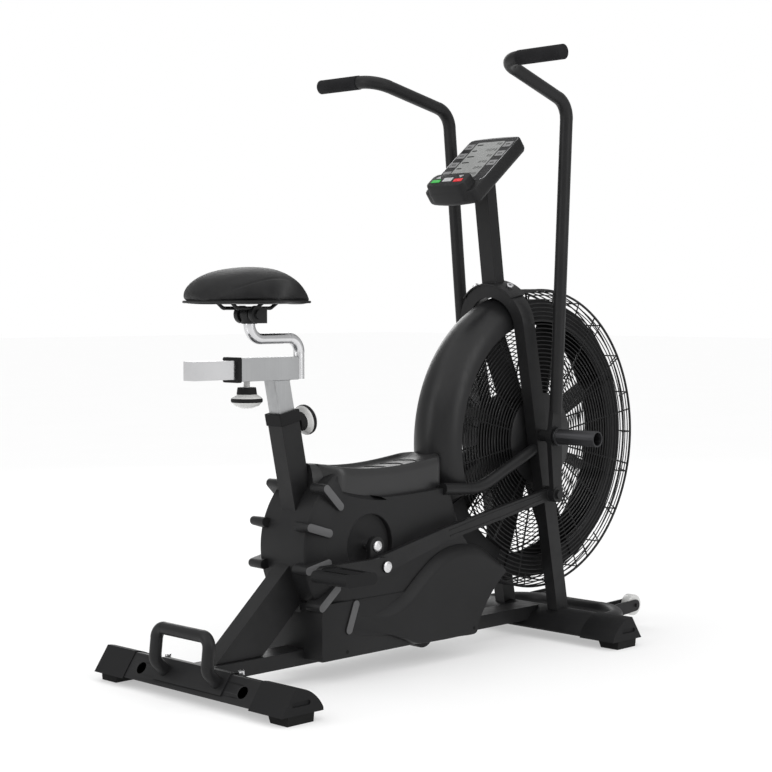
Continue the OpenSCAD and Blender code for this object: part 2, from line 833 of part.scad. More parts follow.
// Belt round a large pulley (1) and a smaller one (2), in the plane y
module belt_loop(x1, z1, r1, x2, z2, r2, y, w) {
    reach = norm([x2 - x1, z2 - z1]);
    aim = atan2(z2 - z1, x2 - x1);
    t = acos((r1 - r2) / reach);
    run = reach * sin(t);
    translate([x1, y, z1]) rotate([90, 0, 0]) rotate([0, 0, aim]) {
        rotate([0, 0, t]) belt_arc(r1, 360 - 2 * t, w);
        translate([reach, 0, 0]) rotate([0, 0, -t]) belt_arc(r2, 2 * t, w);
        for (s = [-1, 1]) rotate([0, 0, s * t])
            translate([r1 + belt_gap + skin, s > 0 ? -run - weld : -weld, skin - w / 2])
                cube([belt_t - 2 * skin, run + 2 * weld, w - 2 * skin]);
    }
}

module belt_arc(r, sweep, w) {
    rotate_extrude(angle = sweep) translate([r + belt_gap, -w / 2]) square([belt_t, w]);
}

module drive_belt() {
    color(black) belt_loop(crank_x, crank_z, crank_pulley_r, jack_x, jack_z, jack_small_r, drive_y, drive_w);
}

module fan_belt() {
    color(black) belt_loop(jack_x, jack_z, jack_large_r, fan_x, fan_z, fan_pulley_r, fan_belt_y, fan_belt_w);
}

module fan_belt_cover() {
    inner = fan_belt_y + fan_belt_w / 2 + 0.4;
    color(black) difference() {
        union() {
            cross_pin(jack_x, jack_z, inner, inner + 2, 2 * jack_large_r + 16);
            side_slab(inner + skin, inner + 2 - skin)
                link_outline(jack_x, jack_z, jack_large_r + 7.5, fan_x, fan_z, fan_pulley_r + 8);
        }
        side_slab(inner - 1, inner + 3) translate([fan_x - 92, 0]) square([400, 700]);
    }
}

module jackshaft() {
    color(silver) {
        cross_pin(jack_x, jack_z, -17, fan_belt_y + fan_belt_w / 2, shaft_d);
        cross_pin(jack_x, jack_z, drive_y - drive_w / 2, drive_y + drive_w / 2, 2 * jack_small_r);
        cross_pin(jack_x, jack_z, fan_belt_y - fan_belt_w / 2, fan_belt_y + fan_belt_w / 2, 2 * jack_large_r);
    }
}

// ---- crank, rods and pedals ----

pin_angle = 270 - crank_rest;
pedal_lead = 77;
function crank_pin(side) = [crank_x, crank_z] - side * throw_r * [cos(pin_angle), sin(pin_angle)];
function pedal_pin(side) = [crank_x, crank_z]
    - side * crank_r * [cos(pin_angle - pedal_lead), sin(pin_angle - pedal_lead)];

module crank_axle() {
    cap_t = 3;
    color(silver) {
        cross_pin(crank_x, crank_z, -arm_in - arm_t, arm_in + arm_t, crank_shaft_d);
        for (side = [RIGHT, LEFT]) hand_pin(side, crank_x, crank_z, arm_in + arm_t,
            arm_in + arm_t + cap_t - 2.5, 22);
    }
}

module crank_pulley() {
    color(satin) difference() {
        union() {
            side_slab(drive_y - drive_w / 2, drive_y + drive_w / 2) translate([crank_x,
                crank_z]) difference() {
                circle(crank_pulley_r);
                for (a = [0:60:300]) rotate(a) translate([68, 0]) circle(24);
            }
            cross_pin(crank_x, crank_z, shell_half + 1, drive_y + drive_w / 2 + 6, 44);
        }
        cross_pin(crank_x, crank_z, 0, 90, crank_shaft_d);
    }
}

module crank_arm(side) {
    p = crank_pin(side);
    difference() {
        union() {
            hand_slab(side, arm_in, arm_in + arm_t) link_outline(crank_x, crank_z, 19, p[0], p[1], 17);
            hand_pin(side, p[0], p[1], arm_in, outer_in + outer_t, pin_d);
            hand_pin(side, p[0], p[1], outer_in + outer_t, outer_in + outer_t + 2, 24);
        }
        hand_pin(side, crank_x, crank_z, 0, 200, crank_shaft_d);
    }
}

module crank_arm_right() { color(satin) crank_arm(RIGHT); }
module crank_arm_left() { color(satin) crank_arm(LEFT); }

module pedal_arm(side) {
    p = crank_pin(side);
    q = pedal_pin(side);
    difference() {
        union() {
            hand_slab(side, outer_in, outer_in + outer_t) link_outline(p[0], p[1], 18, q[0], q[1], 15);
            hand_pin(side, q[0], q[1], outer_in + 2, pedal_in + pedal_w - 6, 14);
        }
        hand_pin(side, p[0], p[1], 0, 300, pin_d);
    }
}

module pedal_arm_right() { color(satin) pedal_arm(RIGHT); }
module pedal_arm_left() { color(satin) pedal_arm(LEFT); }

module pedal(side) {
    q = pedal_pin(side);
    h = 24;
    difference() {
        union() {
            for (s = [-1, 1])
                hand_pin(side, q[0] + s * (pedal_l - h) / 2, q[1], pedal_in, pedal_in + pedal_w, h);
            hand_slab(side, pedal_in + skin, pedal_in + pedal_w - skin) translate(q)
                square([pedal_l - h + 2, h - 1], center = true);
        }
        hand_pin(side, q[0], q[1], 0, pedal_in + pedal_w - 5, 14 + 2 * run_fit);
        for (s = [-1, 1]) translate([q[0] + s * pedal_l * 0.26 - 6,
            side * (pedal_in + pedal_w / 2) - pedal_w * 0.34,
            q[1] - h]) cube([12, pedal_w * 0.68, 2 * h]);
    }
}

module pedal_right() { color(black) pedal(RIGHT); }
module pedal_left() { color(black) pedal(LEFT); }

// Lower pin of a handle lever
function lever_pin(side) = let (a = side == RIGHT ? handle_rest : -handle_rest)
    [pivot_x + rod_pin_fore * cos(a) - rod_pin_drop * sin(a),
        pivot_z - rod_pin_fore * sin(a) - rod_pin_drop * cos(a)];

module rod(side) {
    p = crank_pin(side);
    q = lever_pin(side);
    eye_out = lever_in - pass_gap;
    bend = p + (q - p) * 0.36 + [0, 8];
    difference() {
        union() {
            hand_slab(side, rod_in, rod_in + rod_t) {
                link_outline(p[0], p[1], 19, bend[0], bend[1], 14);
                link_outline(bend[0], bend[1], 14, q[0], q[1], 13);
            }
            hand_pin(side, q[0], q[1], rod_in - 2, eye_out, 34);
        }
        hand_pin(side, p[0], p[1], 0, 300, pin_d + 2 * run_fit);
        hand_pin(side, q[0], q[1], 0, 300, 12);
    }
}

module rod_right() { color(black) rod(RIGHT); }
module rod_left() { color(black) rod(LEFT); }

// ---- handles ----

module handle_place(side) {
    translate([pivot_x, 0, pivot_z]) rotate([0, side == RIGHT ? handle_rest : -handle_rest, 0]) children();
}

function handle_path(side) = let (rise = handle_top - pivot_z)
    [[0, side * (lever_y + 2), 52], [-18, side * (lever_y + 21), rise], [-244, side * (lever_y + 28),
        rise + 62],
        [-247, side * 318, rise + 62]];
handle_bend = 46;

module handle(side) {
    color(black) handle_place(side) difference() {
        union() {
            bent_tube(handle_path(side), handle_bend, handle_d);
            hand_pin(side, 0, 0, lever_in, lever_out, 46);
            hand_pin(side, rod_pin_fore, -rod_pin_drop, lever_in, lever_out, 34);
            hand_slab(side, lever_in + 1, lever_out - 1) polygon([[-19, 0], [rod_pin_fore - 14,
                -rod_pin_drop],
                [rod_pin_fore + 14, -rod_pin_drop], [19, 0], [9, 92], [-9, 92]]);
            hand_pin(side, rod_pin_fore, -rod_pin_drop, lever_out, lever_out + 6, 20);
        }
        hand_pin(side, 0, 0, 0, 300, stub_d + 2 * run_fit);
        p = handle_path(side);
        w = unit(p[3] - p[2]);
        frame_at(p[3] - w * 3, [1, 0, 0], cross(w, [1, 0, 0]), w) cylinder(d = handle_d + 10, h = 20);
    }
}

module handle_right() { handle(RIGHT); }
module handle_left() { handle(LEFT); }

module grip(side) {
    p = handle_path(side);
    w = unit(p[3] - p[2]);
    u = unit(cross([0, 0, 1], w));
    color(satin) handle_place(side) difference() {
        frame_at(p[3] - w * grip_l, u, cross(w, u), w) cylinder(d = handle_d + 3, h = grip_l + 2);
        frame_at(p[3] - w * (grip_l + 1), u, cross(w, u), w) cylinder(d = handle_d, h = grip_l - 2);
    }
}

module grip_right() { grip(RIGHT); }
module grip_left() { grip(LEFT); }

module foot_pegs() {
    start = lever_out + pass_gap;
    peg_d = 34;
    color(satin) for (side = [RIGHT, LEFT]) difference() {
        union() {
            hand_pin(side, pivot_x, pivot_z, start, start + 8, peg_d + 6);
            hand_pin(side, pivot_x, pivot_z, start, start + peg_l, peg_d);
        }
        hand_pin(side, pivot_x, pivot_z, 0, lever_out + 18, stub_d);
        hand_pin(side, pivot_x, pivot_z, lever_out + 18, start + peg_l + 1, peg_d - 6);
    }
}

// ---- seat ----

knob_height_z = 506;
knob_stem_d = 12;
sleeve_w = slide_w + 2 * (sleeve_wall + slide_gap);
sleeve_h = slide_h + 2 * (sleeve_wall + slide_gap);

module seat_post() {
    depth = 260;
    bore = [slide_w + 2 * slide_gap, slide_h + 2 * slide_gap];
    color(silver) difference() {
        union() {
            on_seat_line(sleeve_z) translate([-post_d / 2, -post_w / 2, -depth])
                cube([post_d, post_w, depth + 10]);
            translate([sleeve_back, -sleeve_w / 2, sleeve_z - sleeve_h / 2])
                cube([sleeve_front - sleeve_back, sleeve_w, sleeve_h]);
        }
        translate([rear_x, -bore[0] / 2, sleeve_z - bore[1] / 2]) cube([base_length, bore[0], bore[1]]);
        translate([knob_x, 0, sleeve_z - sleeve_h]) cylinder(d = knob_stem_d + 2 * pass_gap, h = sleeve_h);
    }
}

module seat_slider() {
    bar_rear = rear_x + 20;
    bar_front = s_front_x - s_tube_d / 2 + 1;
    bend = 28;
    rise_z = 680;
    color(silver) {
        translate([bar_rear, -slide_w / 2, sleeve_z - slide_h / 2]) cube([bar_front - bar_rear,
            slide_w, slide_h]);
        bent_tube([[s_front_x, 0, sleeve_z - slide_h / 2 - 4], [s_front_x, 0, rise_z], [s_top_x, 0, rise_z],
            [s_top_x, 0, clamp_z - 7]], bend, s_tube_d);
    }
}

clamp_in = 16;
clamp_half = 27;
module saddle_socket() {
    color(black) difference() {
        union() {
            translate([s_top_x, 0, clamp_z - 18]) cylinder(d = s_tube_d + 8, h = 18);
            cross_pin(s_top_x, clamp_z, -10, 10, 30);
        }
        translate([s_top_x, 0, clamp_z - 30]) cylinder(d = s_tube_d, h = 23);
        cross_pin(s_top_x, clamp_z, -40, 40, 10);
    }
}

module saddle_clamp() {
    color(black) difference() {
        union() {
            for (side = [RIGHT, LEFT]) hand_slab(side, clamp_in, clamp_half) translate([s_top_x, clamp_z]) {
                circle(17);
                translate([-4, -17]) square([26, 30]);
            }
            cross_pin(s_top_x, clamp_z, -clamp_half - 4, clamp_half + 4, 9.9);
            for (side = [RIGHT, LEFT]) hand_pin(side, s_top_x, clamp_z, clamp_half, clamp_half + 5, 18);
        }
        for (side = [RIGHT, LEFT]) rod_between([s_top_x - 60, side * rail_y, rail_z], [s_top_x + 60,
            side * rail_y, rail_z],
            rail_d);
    }
}

rail_y = 21;
rail_d = 7;
rail_z = saddle_z - 8;
module saddle_rails() {
    color(black) for (side = [RIGHT, LEFT])
        bent_tube([[s_top_x - 62, side * rail_y, saddle_z + 3], [s_top_x - 48, side * rail_y, rail_z],
            [s_top_x + 36, side * rail_y, rail_z], [s_top_x + 54, side * rail_y, saddle_z + 3]], 10, rail_d);
}

module saddle_layer(share, z, h) {
    lobe = saddle_w * 0.3;
    nose = saddle_w * 0.16;
    mid = saddle_rear + saddle_l * 0.42;
    translate([mid, 0, z]) linear_extrude(h) for (c = [[lobe + saddle_rear - mid, saddle_w / 2 - lobe, lobe],
        [lobe + saddle_rear - mid, lobe - saddle_w / 2, lobe], [saddle_rear + saddle_l - nose - mid, 0,
            nose]])
        translate([c[0] * share, c[1] * share]) circle(c[2] * share, $fn = 40);
}

module saddle() {
    color(black) difference() {
        hull() {
            saddle_layer(1, saddle_z, 8);
            saddle_layer(0.93, saddle_z, saddle_t * 0.42);
            saddle_layer(0.78, saddle_z, saddle_t * 0.72);
            saddle_layer(0.5, saddle_z, saddle_t * 0.94);
            saddle_layer(0.25, saddle_z, saddle_t);
        }
        for (side = [RIGHT, LEFT], x = [s_top_x - 62, s_top_x + 54])
            translate([x - 14, side * rail_y - 5, saddle_z - 1]) cube([28, 10, 9]);
    }
}

// Round knob with a waist along +z, and its stem along -z
module knob_shape(stem) {
    rotate_extrude() polygon([[0, -stem], [knob_stem_d / 2, -stem], [knob_stem_d / 2, 0], [17, 0], [19,
        12], [28, 18],
        [30, 21], [30, 27], [24, 34], [12, 39], [0, 40]]);
}

module knob_height() {
    color(white) on_seat_line(knob_height_z) translate([tube_d / 2 + pass_gap + 8, 0, 0]) rotate([0, 90, 0])
        knob_shape(12);
}

module knob_slide() {
    color(white) translate([knob_x, 0, sleeve_z - sleeve_h / 2 - pass_gap - 12]) rotate([180, 0,
        0]) knob_shape(16);
}

// ---- console ----

module on_console() {
    translate([console_x, 0, console_z]) rotate([0, 90 - console_tilt, 0]) rotate([0, 0, 180]) children();
}

// In the console's own frame, x is out of the face, y is towards the rider's right and z is up the slope
module face_slab(x0, x1) { translate([x0, 0, 0]) rotate([90, 0, 90]) linear_extrude(x1 - x0) children(); }

module rounded(y0, y1, z0, z1, corner) {
    translate([y0 + corner, z0]) square([y1 - y0 - 2 * corner, z1 - z0]);
    translate([y0, z0 + corner]) square([y1 - y0, z1 - z0 - 2 * corner]);
    for (y = [y0 + corner, y1 - corner], z = [z0 + corner, z1 - corner]) translate([y, z]) circle(corner);
}

module console_case() {
    color(black) on_console() difference() {
        union() {
            face_slab(-console_t, 0) rounded(-console_w / 2, console_w / 2, -console_l / 2,
                console_l / 2, 14);
            face_slab(-console_t + 4, chin_rise) rounded(-chin_half, chin_half, -console_l / 2 - 8,
                chin_top, 12);
        }
        face_slab(-3, 1) panel_outline();
        for (k = key_list) key_block(k, chin_rise - 8, chin_rise + 1, 0.3);
    }
}

// The face plate stops at the key field's upper end
module panel_outline() {
    rim = 5;
    rounded(-console_w / 2 + rim, console_w / 2 - rim, chin_top + 2, console_l / 2 - rim, 9);
}

module console_panel() {
    color(satin) on_console() face_slab(-3, -0.5) panel_outline();
}

// Keys: across, up the slope, width, height
key_row = -console_l / 2 + 11;
key_list = [[-32, key_row, 24, 10], [32, key_row, 24, 10], [0, key_row + 4, 26, 13],
    [-31, key_row + 14, 16, 9], [31, key_row + 14, 16, 9]];
module key_block(k, x0, x1, g) {
    translate([x0, k[0] - k[2] / 2 - g, k[1] - k[3] / 2 - g]) cube([x1 - x0, k[2] + 2 * g, k[3] + 2 * g]);
}
module key_cap(k) { on_console() key_block(k, chin_rise - 6.5, chin_rise + 1, 0); }

module key_start() { color([0.1, 0.7, 0.15]) key_cap(key_list[0]); }
module key_stop() { color([0.85, 0.08, 0.1]) key_cap(key_list[1]); }
module key_enter() { color([0.75, 0.75, 0.76]) key_cap(key_list[2]); }
module key_up() { color([0.75, 0.75, 0.76]) key_cap(key_list[3]); }
module key_down() { color([0.75, 0.75, 0.76]) key_cap(key_list[4]); }

// ---- rolling and fastening ----

roller_w = 22;
module roller(side) {
    difference() {
        cross_pin(roller_x, roller_z, side * roller_y - roller_w / 2, side * roller_y + roller_w / 2,
            2 * roller_r);
        cross_pin(roller_x, roller_z, side * roller_y - 30, side * roller_y + 30, 8 + 2 * run_fit);
    }
}

module wheel_right() { color(white) roller(RIGHT); }
module wheel_left() { color(white) roller(LEFT); }

module frame_bolts() {
    color(silver) {
        on_fork(arch_z) for (a = [-30, 30]) rotate([a, 0, 0]) translate([0, 0,
            fork_out + 4]) socket_head(15, 7);
        rear_place() for (y = [-109, 109]) translate([bar_depth * 0.52, y,
            bar_top - 4]) cylinder(d = 12, h = 8);
    }
}

rear_stabilizer();
front_stabilizer();
stabilizer_caps();
rubber_feet();
lift_handle();
main_beam();
rear_strut();
seat_tube();
seat_collar();
fork();
console_mast();
side_braces();
front_bar();
cover_right();
cover_left();
top_cover();
top_pad();
shroud();
cage_right();
cage_left();
cage_hoops();
foot_pegs();
frame_bolts();
fan_axle();
drive_belt();
fan_belt();
fan_belt_cover();
console_case();
console_panel();
crank_axle();
crank_pulley();
crank_arm_right();
crank_arm_left();
pedal_arm_right();
pedal_arm_left();
rod_right();
rod_left();
pedal_right();
pedal_left();
handle_right();
handle_left();
grip_right();
grip_left();
fan_wheel();
jackshaft();
seat_post();
seat_slider();
saddle_socket();
saddle_clamp();
saddle_rails();
saddle();
knob_height();
knob_slide();
key_start();
key_stop();
key_enter();
key_up();
key_down();
wheel_right();
wheel_left();
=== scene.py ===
"""The looks of the air bike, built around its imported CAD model."""

import json

import bmesh
import bpy
from math import atan2, cos, pi, radians, sin, sqrt
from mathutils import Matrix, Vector


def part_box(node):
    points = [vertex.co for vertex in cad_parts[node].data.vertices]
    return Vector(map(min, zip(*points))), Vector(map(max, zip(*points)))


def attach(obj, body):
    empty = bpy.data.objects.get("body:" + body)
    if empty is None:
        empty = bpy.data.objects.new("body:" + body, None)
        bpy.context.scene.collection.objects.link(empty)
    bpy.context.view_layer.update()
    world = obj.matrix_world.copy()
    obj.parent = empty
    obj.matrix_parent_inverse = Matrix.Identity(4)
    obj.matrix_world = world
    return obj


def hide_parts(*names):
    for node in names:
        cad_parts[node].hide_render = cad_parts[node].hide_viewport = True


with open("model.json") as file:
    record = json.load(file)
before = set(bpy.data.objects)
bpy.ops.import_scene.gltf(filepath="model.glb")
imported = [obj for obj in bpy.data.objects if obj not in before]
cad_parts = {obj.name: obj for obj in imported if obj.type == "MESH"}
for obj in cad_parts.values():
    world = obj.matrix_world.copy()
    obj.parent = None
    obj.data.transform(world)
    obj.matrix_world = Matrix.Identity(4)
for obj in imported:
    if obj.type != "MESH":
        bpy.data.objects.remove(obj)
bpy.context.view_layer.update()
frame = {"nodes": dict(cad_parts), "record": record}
nodes = frame["nodes"]
scene = bpy.context.scene


def centre(node):
    low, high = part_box(node)
    return (low + high) / 2


# The frame's own stations
FAN = centre("fan_axle")
CRANK = centre("crank_axle")
CAGE_R = (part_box("cage_hoops")[1].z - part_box("cage_hoops")[0].z) / 2
CAGE_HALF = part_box("cage_left")[1].y


# ---- materials ----

def new_material(name, base, rough, metallic=0.0, coat=0.0, specular=0.5):
    mat = bpy.data.materials.new(name)
    mat.use_nodes = True
    shader = mat.node_tree.nodes["Principled BSDF"]
    shader.inputs["Base Color"].default_value = (*base, 1)
    shader.inputs["Roughness"].default_value = rough
    shader.inputs["Metallic"].default_value = metallic
    shader.inputs["Coat Weight"].default_value = coat
    shader.inputs["Specular IOR Level"].default_value = specular
    return mat, mat.node_tree, shader


def texture(tree, kind, scale, stretch=(1, 1, 1), **values):
    coords = tree.nodes.new("ShaderNodeTexCoord")
    mapping = tree.nodes.new("ShaderNodeMapping")
    mapping.inputs["Scale"].default_value = stretch
    tex = tree.nodes.new(kind)
    tex.inputs["Scale"].default_value = scale
    for key, value in values.items():
        tex.inputs[key].default_value = value
    tree.links.new(coords.outputs["Object"], mapping.inputs["Vector"])
    tree.links.new(mapping.outputs["Vector"], tex.inputs["Vector"])
    return tex


def ramp(tree, source, low, high, start=0.3, end=0.7):
    """Maps a grey texture onto colours or values from low to high."""
    node = tree.nodes.new("ShaderNodeValToRGB")
    node.color_ramp.elements[0].position = start
    node.color_ramp.elements[1].position = end
    node.color_ramp.elements[0].color = (*low, 1)
    node.color_ramp.elements[1].color = (*high, 1)
    tree.links.new(source, node.inputs["Fac"])
    return node.outputs["Color"]


def grey(value):
    return (value, value, value)


def add_bump(tree, shader, height, strength, distance):
    bump = tree.nodes.new("ShaderNodeBump")
    bump.inputs["Strength"].default_value = strength
    bump.inputs["Distance"].default_value = distance
    tree.links.new(height, bump.inputs["Height"])
    old = shader.inputs["Normal"].links
    if old:
        tree.links.new(old[0].from_socket, bump.inputs["Normal"])
    tree.links.new(bump.outputs["Normal"], shader.inputs["Normal"])


def powder_coat(name, base, rough=0.42):
    """Satin powder coat: fine orange peel, faint clouds in colour and gloss."""
    mat, tree, shader = new_material(name, base, rough, specular=0.22)
    peel = texture(tree, "ShaderNodeTexNoise", 900, Detail=2)
    add_bump(tree, shader, peel.outputs["Fac"], 0.12, 0.0004)
    cloud = texture(tree, "ShaderNodeTexNoise", 14, Detail=5)
    dark, light = (tuple(c * f for c in base) for f in (0.82, 1.18))
    tree.links.new(ramp(tree, cloud.outputs["Fac"], dark, light), shader.inputs["Base Color"])
    gloss = texture(tree, "ShaderNodeTexNoise", 45, Detail=6)
    tree.links.new(ramp(tree, gloss.outputs["Fac"], grey(rough - 0.05), grey(rough + 0.07)),
                   shader.inputs["Roughness"])
    return mat


def moulded(name, base, rough, grain=1500, strength=0.25, specular=0.2):
    """Moulded plastic with a spark-eroded grain."""
    mat, tree, shader = new_material(name, base, rough, specular=specular)
    pits = texture(tree, "ShaderNodeTexVoronoi", grain)
    add_bump(tree, shader, pits.outputs["Distance"], strength, 0.0003)
    cloud = texture(tree, "ShaderNodeTexNoise", 9, Detail=6)
    dark, light = (tuple(c * f for c in base) for f in (0.85, 1.15))
    tree.links.new(ramp(tree, cloud.outputs["Fac"], dark, light), shader.inputs["Base Color"])
    tree.links.new(ramp(tree, cloud.outputs["Fac"], grey(rough - 0.04), grey(rough + 0.05)),
                   shader.inputs["Roughness"])
    return mat


def gloss_plastic(name, base, rough=0.22, coat=0.2, specular=0.5):
    """Polished plastic: a very low ripple and faint handling marks in the gloss."""
    mat, tree, shader = new_material(name, base, rough, coat=coat, specular=specular)
    ripple = texture(tree, "ShaderNodeTexNoise", 22, Detail=2)
    add_bump(tree, shader, ripple.outputs["Fac"], 0.05, 0.001)
    marks = texture(tree, "ShaderNodeTexNoise", 120, (1, 1, 0.2), Detail=8)
    tree.links.new(ramp(tree, marks.outputs["Fac"], grey(rough - 0.04), grey(rough + 0.08), 0.4, 0.75),
                   shader.inputs["Roughness"])
    cloud = texture(tree, "ShaderNodeTexNoise", 7, Detail=3)
    dark, light = (tuple(c * f for c in base) for f in (0.94, 1.04))
    tree.links.new(ramp(tree, cloud.outputs["Fac"], dark, light), shader.inputs["Base Color"])
    return mat


def metal(name, base, rough, stretch=(1, 1, 1), scratch=0.1):
    """Drawn or turned metal, with fine lines along the stretch's short axis."""
    mat, tree, shader = new_material(name, base, rough, metallic=1.0)
    lines = texture(tree, "ShaderNodeTexNoise", 260, stretch, Detail=6)
    add_bump(tree, shader, lines.outputs["Fac"], scratch, 0.0002)
    tree.links.new(ramp(tree, lines.outputs["Fac"], grey(rough * 0.8), grey(rough * 1.3)),
                   shader.inputs["Roughness"])
    cloud = texture(tree, "ShaderNodeTexNoise", 12, Detail=4)
    dark, light = (tuple(min(c * f, 1) for c in base) for f in (0.93, 1.05))
    tree.links.new(ramp(tree, cloud.outputs["Fac"], dark, light), shader.inputs["Base Color"])
    return mat


def rubber(name, base, rough=0.75, grain=700):
    mat, tree, shader = new_material(name, base, rough, specular=0.15)
    pores = texture(tree, "ShaderNodeTexVoronoi", grain)
    add_bump(tree, shader, pores.outputs["Distance"], 0.4, 0.0006)
    dust = texture(tree, "ShaderNodeTexNoise", 30, Detail=8)
    dark, light = (tuple(c * f for c in base) for f in (0.8, 1.5))
    tree.links.new(ramp(tree, dust.outputs["Fac"], dark, light, 0.35, 0.8), shader.inputs["Base Color"])
    return mat


def leatherette(name, base, rough=0.42):
    """Smooth black cover with a pebbled grain and a soft sheen."""
    mat, tree, shader = new_material(name, base, rough, specular=0.2)
    shader.inputs["Sheen Weight"].default_value = 0.02
    pebble = texture(tree, "ShaderNodeTexVoronoi", 520)
    add_bump(tree, shader, pebble.outputs["Distance"], 0.22, 0.0006)
    crease = texture(tree, "ShaderNodeTexNoise", 60, Detail=8)
    add_bump(tree, shader, crease.outputs["Fac"], 0.08, 0.001)
    dark, light = (tuple(c * f for c in base) for f in (0.8, 1.25))
    tree.links.new(ramp(tree, crease.outputs["Fac"], dark, light), shader.inputs["Base Color"])
    return mat


BLACK = (0.0105, 0.0105, 0.011)
MATERIALS = {
    "frame_black": powder_coat("frame_black", BLACK),
    "moulding": moulded("moulding", (0.0115, 0.0115, 0.012), 0.46),
    "gloss_shell": gloss_plastic("gloss_shell", (0.008, 0.008, 0.0085), 0.38, 0.0, 0.3),
    "cap_plastic": moulded("cap_plastic", (0.009, 0.009, 0.0095), 0.6, 900, 0.4, 0.15),
    "rubber_black": rubber("rubber_black", (0.008, 0.008, 0.008)),
    "steel_bright": metal("steel_bright", (0.66, 0.66, 0.67), 0.2),
    "post_grey": metal("post_grey", (0.40, 0.405, 0.41), 0.42, (1, 1, 0.05), 0.2),
    "knob_white": gloss_plastic("knob_white", (0.62, 0.62, 0.61), 0.25),
    "wire_black": powder_coat("wire_black", (0.011, 0.011, 0.0115), 0.36),
    "belt_rubber": rubber("belt_rubber", (0.015, 0.015, 0.015), 0.7, 400),
    "saddle_skin": leatherette("saddle_skin", (0.0062, 0.0062, 0.0066), 0.5),
    "foam_grip": rubber("foam_grip", (0.011, 0.011, 0.012), 0.85, 1100),
    "peg_metal": metal("peg_metal", (0.055, 0.055, 0.058), 0.42, (1, 0.05, 1), 0.4),
    "screen_panel": moulded("screen_panel", (0.016, 0.016, 0.017), 0.35, 2500, 0.1),
    "key_green": gloss_plastic("key_green", (0.02, 0.42, 0.05), 0.35),
    "key_red": gloss_plastic("key_red", (0.75, 0.02, 0.03), 0.35),
    "key_grey": gloss_plastic("key_grey", (0.45, 0.45, 0.46), 0.35),
    "wheel_white": gloss_plastic("wheel_white", (0.6, 0.6, 0.59), 0.32),
    "dish_gloss": moulded("dish_gloss", (0.012, 0.012, 0.0125), 0.34, 1800, 0.06, 0.5),
    "lcd_grey": gloss_plastic("lcd_grey", (0.27, 0.275, 0.27), 0.3, 0.0, 0.3),
    "membrane": moulded("membrane", (0.22, 0.22, 0.222), 0.45, 2200, 0.1),
    "cap_silver": metal("cap_silver", (0.72, 0.72, 0.73), 0.35, (1, 1, 1), 0.15),
    "lug_tip": moulded("lug_tip", (0.10, 0.10, 0.102), 0.55, 1200, 0.3),
}


# ---- helpers for pieces ----

def shade(obj, angle=35):
    """Smooth shading with sharp edges past an angle."""
    for poly in obj.data.polygons:
        poly.use_smooth = True
    mesh = obj.data
    mesh.set_sharp_from_angle(angle=radians(angle))


def add_object(name, mesh):
    obj = bpy.data.objects.new(name, mesh)
    scene.collection.objects.link(obj)
    return obj


def dress(obj, material, bevel=0.0):
    """Gives a CAD node its material and, by modifiers, softened edges."""
    obj.data.materials.clear()
    obj.data.materials.append(material)
    if bevel:
        weld = obj.modifiers.new("weld", "WELD")
        weld.merge_threshold = 0.00002
        soft = obj.modifiers.new("bevel", "BEVEL")
        soft.width = bevel
        soft.segments = 2
        soft.limit_method = "ANGLE"
        soft.angle_limit = radians(38)
        soft.harden_normals = True


def settle(obj, material, body, replaces=()):
    obj.data.materials.append(material)
    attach(obj, body)
    if replaces:
        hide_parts(*replaces)
    return obj


def ring_faces(rings, around):
    """Four-sided faces between rings of points that lie one after another."""
    faces = []
    for i in range(rings - 1):
        for k in range(around):
            m = (k + 1) % around
            faces.append((i * around + k, i * around + m, (i + 1) * around + m, (i + 1) * around + k))
    return faces


def mesh_from(name, vertices, faces):
    mesh = bpy.data.meshes.new(name)
    mesh.from_pydata([tuple(v) for v in vertices], [], faces)
    mesh.update()
    return mesh


def tube_data(points, radius, sides=12, closed=False):
    """Vertices and faces of a round tube swept along points."""
    points = [Vector(p) for p in points]
    count = len(points)
    verts, faces = [], []
    normal = None
    for i, p in enumerate(points):
        before = points[i - 1] if i or closed else p
        after = points[(i + 1) % count] if i < count - 1 or closed else p
        along = (after - before).normalized()
        if normal is None:
            side = Vector((0, 1, 0)) if abs(along.y) < 0.9 else Vector((1, 0, 0))
            normal = along.cross(side).normalized()
        normal = (normal - along * normal.dot(along)).normalized()
        binormal = along.cross(normal)
        r = radius[i] if isinstance(radius, (list, tuple)) else radius
        for k in range(sides):
            a = 2 * pi * k / sides
            verts.append(p + r * (cos(a) * normal + sin(a) * binormal))
    rings = count if closed else count - 1
    for i in range(rings):
        j = (i + 1) % count
        for k in range(sides):
            m = (k + 1) % sides
            faces.append((i * sides + k, i * sides + m, j * sides + m, j * sides + k))
    if not closed:
        faces.append(tuple(reversed(range(sides))))
        faces.append(tuple((count - 1) * sides + k for k in range(sides)))
    return verts, faces


def joined(name, parts):
    """One mesh from a list of (vertices, faces)."""
    verts, faces = [], []
    for part_verts, part_faces in parts:
        base = len(verts)
        verts += list(part_verts)
        faces += [tuple(base + i for i in face) for face in part_faces]
    return mesh_from(name, verts, faces)


def fan_ring(radius, y, start=0.0, sweep=360.0, steps=96):
    """Points of an arc about the fan's axis, angles in degrees from forward, turning up."""
    whole = sweep >= 360
    count = steps if whole else max(int(steps * sweep / 360), 4) + 1
    gap = sweep / (steps if whole else count - 1)
    return [Vector((FAN.x + radius * cos(radians(start + i * gap)), y,
                    FAN.z + radius * sin(radians(start + i * gap)))) for i in range(count)]


def lathe_data(profile, sides=48):
    """A turned shape about local z from (radius, height) points, closed at its ends."""
    verts = []
    for r, z in profile:
        for k in range(sides):
            a = 2 * pi * k / sides
            verts.append(Vector((r * cos(a), r * sin(a), z)))
    faces = ring_faces(len(profile), sides)
    faces.append(tuple(reversed(range(sides))))
    faces.append(tuple((len(profile) - 1) * sides + k for k in range(sides)))
    return verts, faces


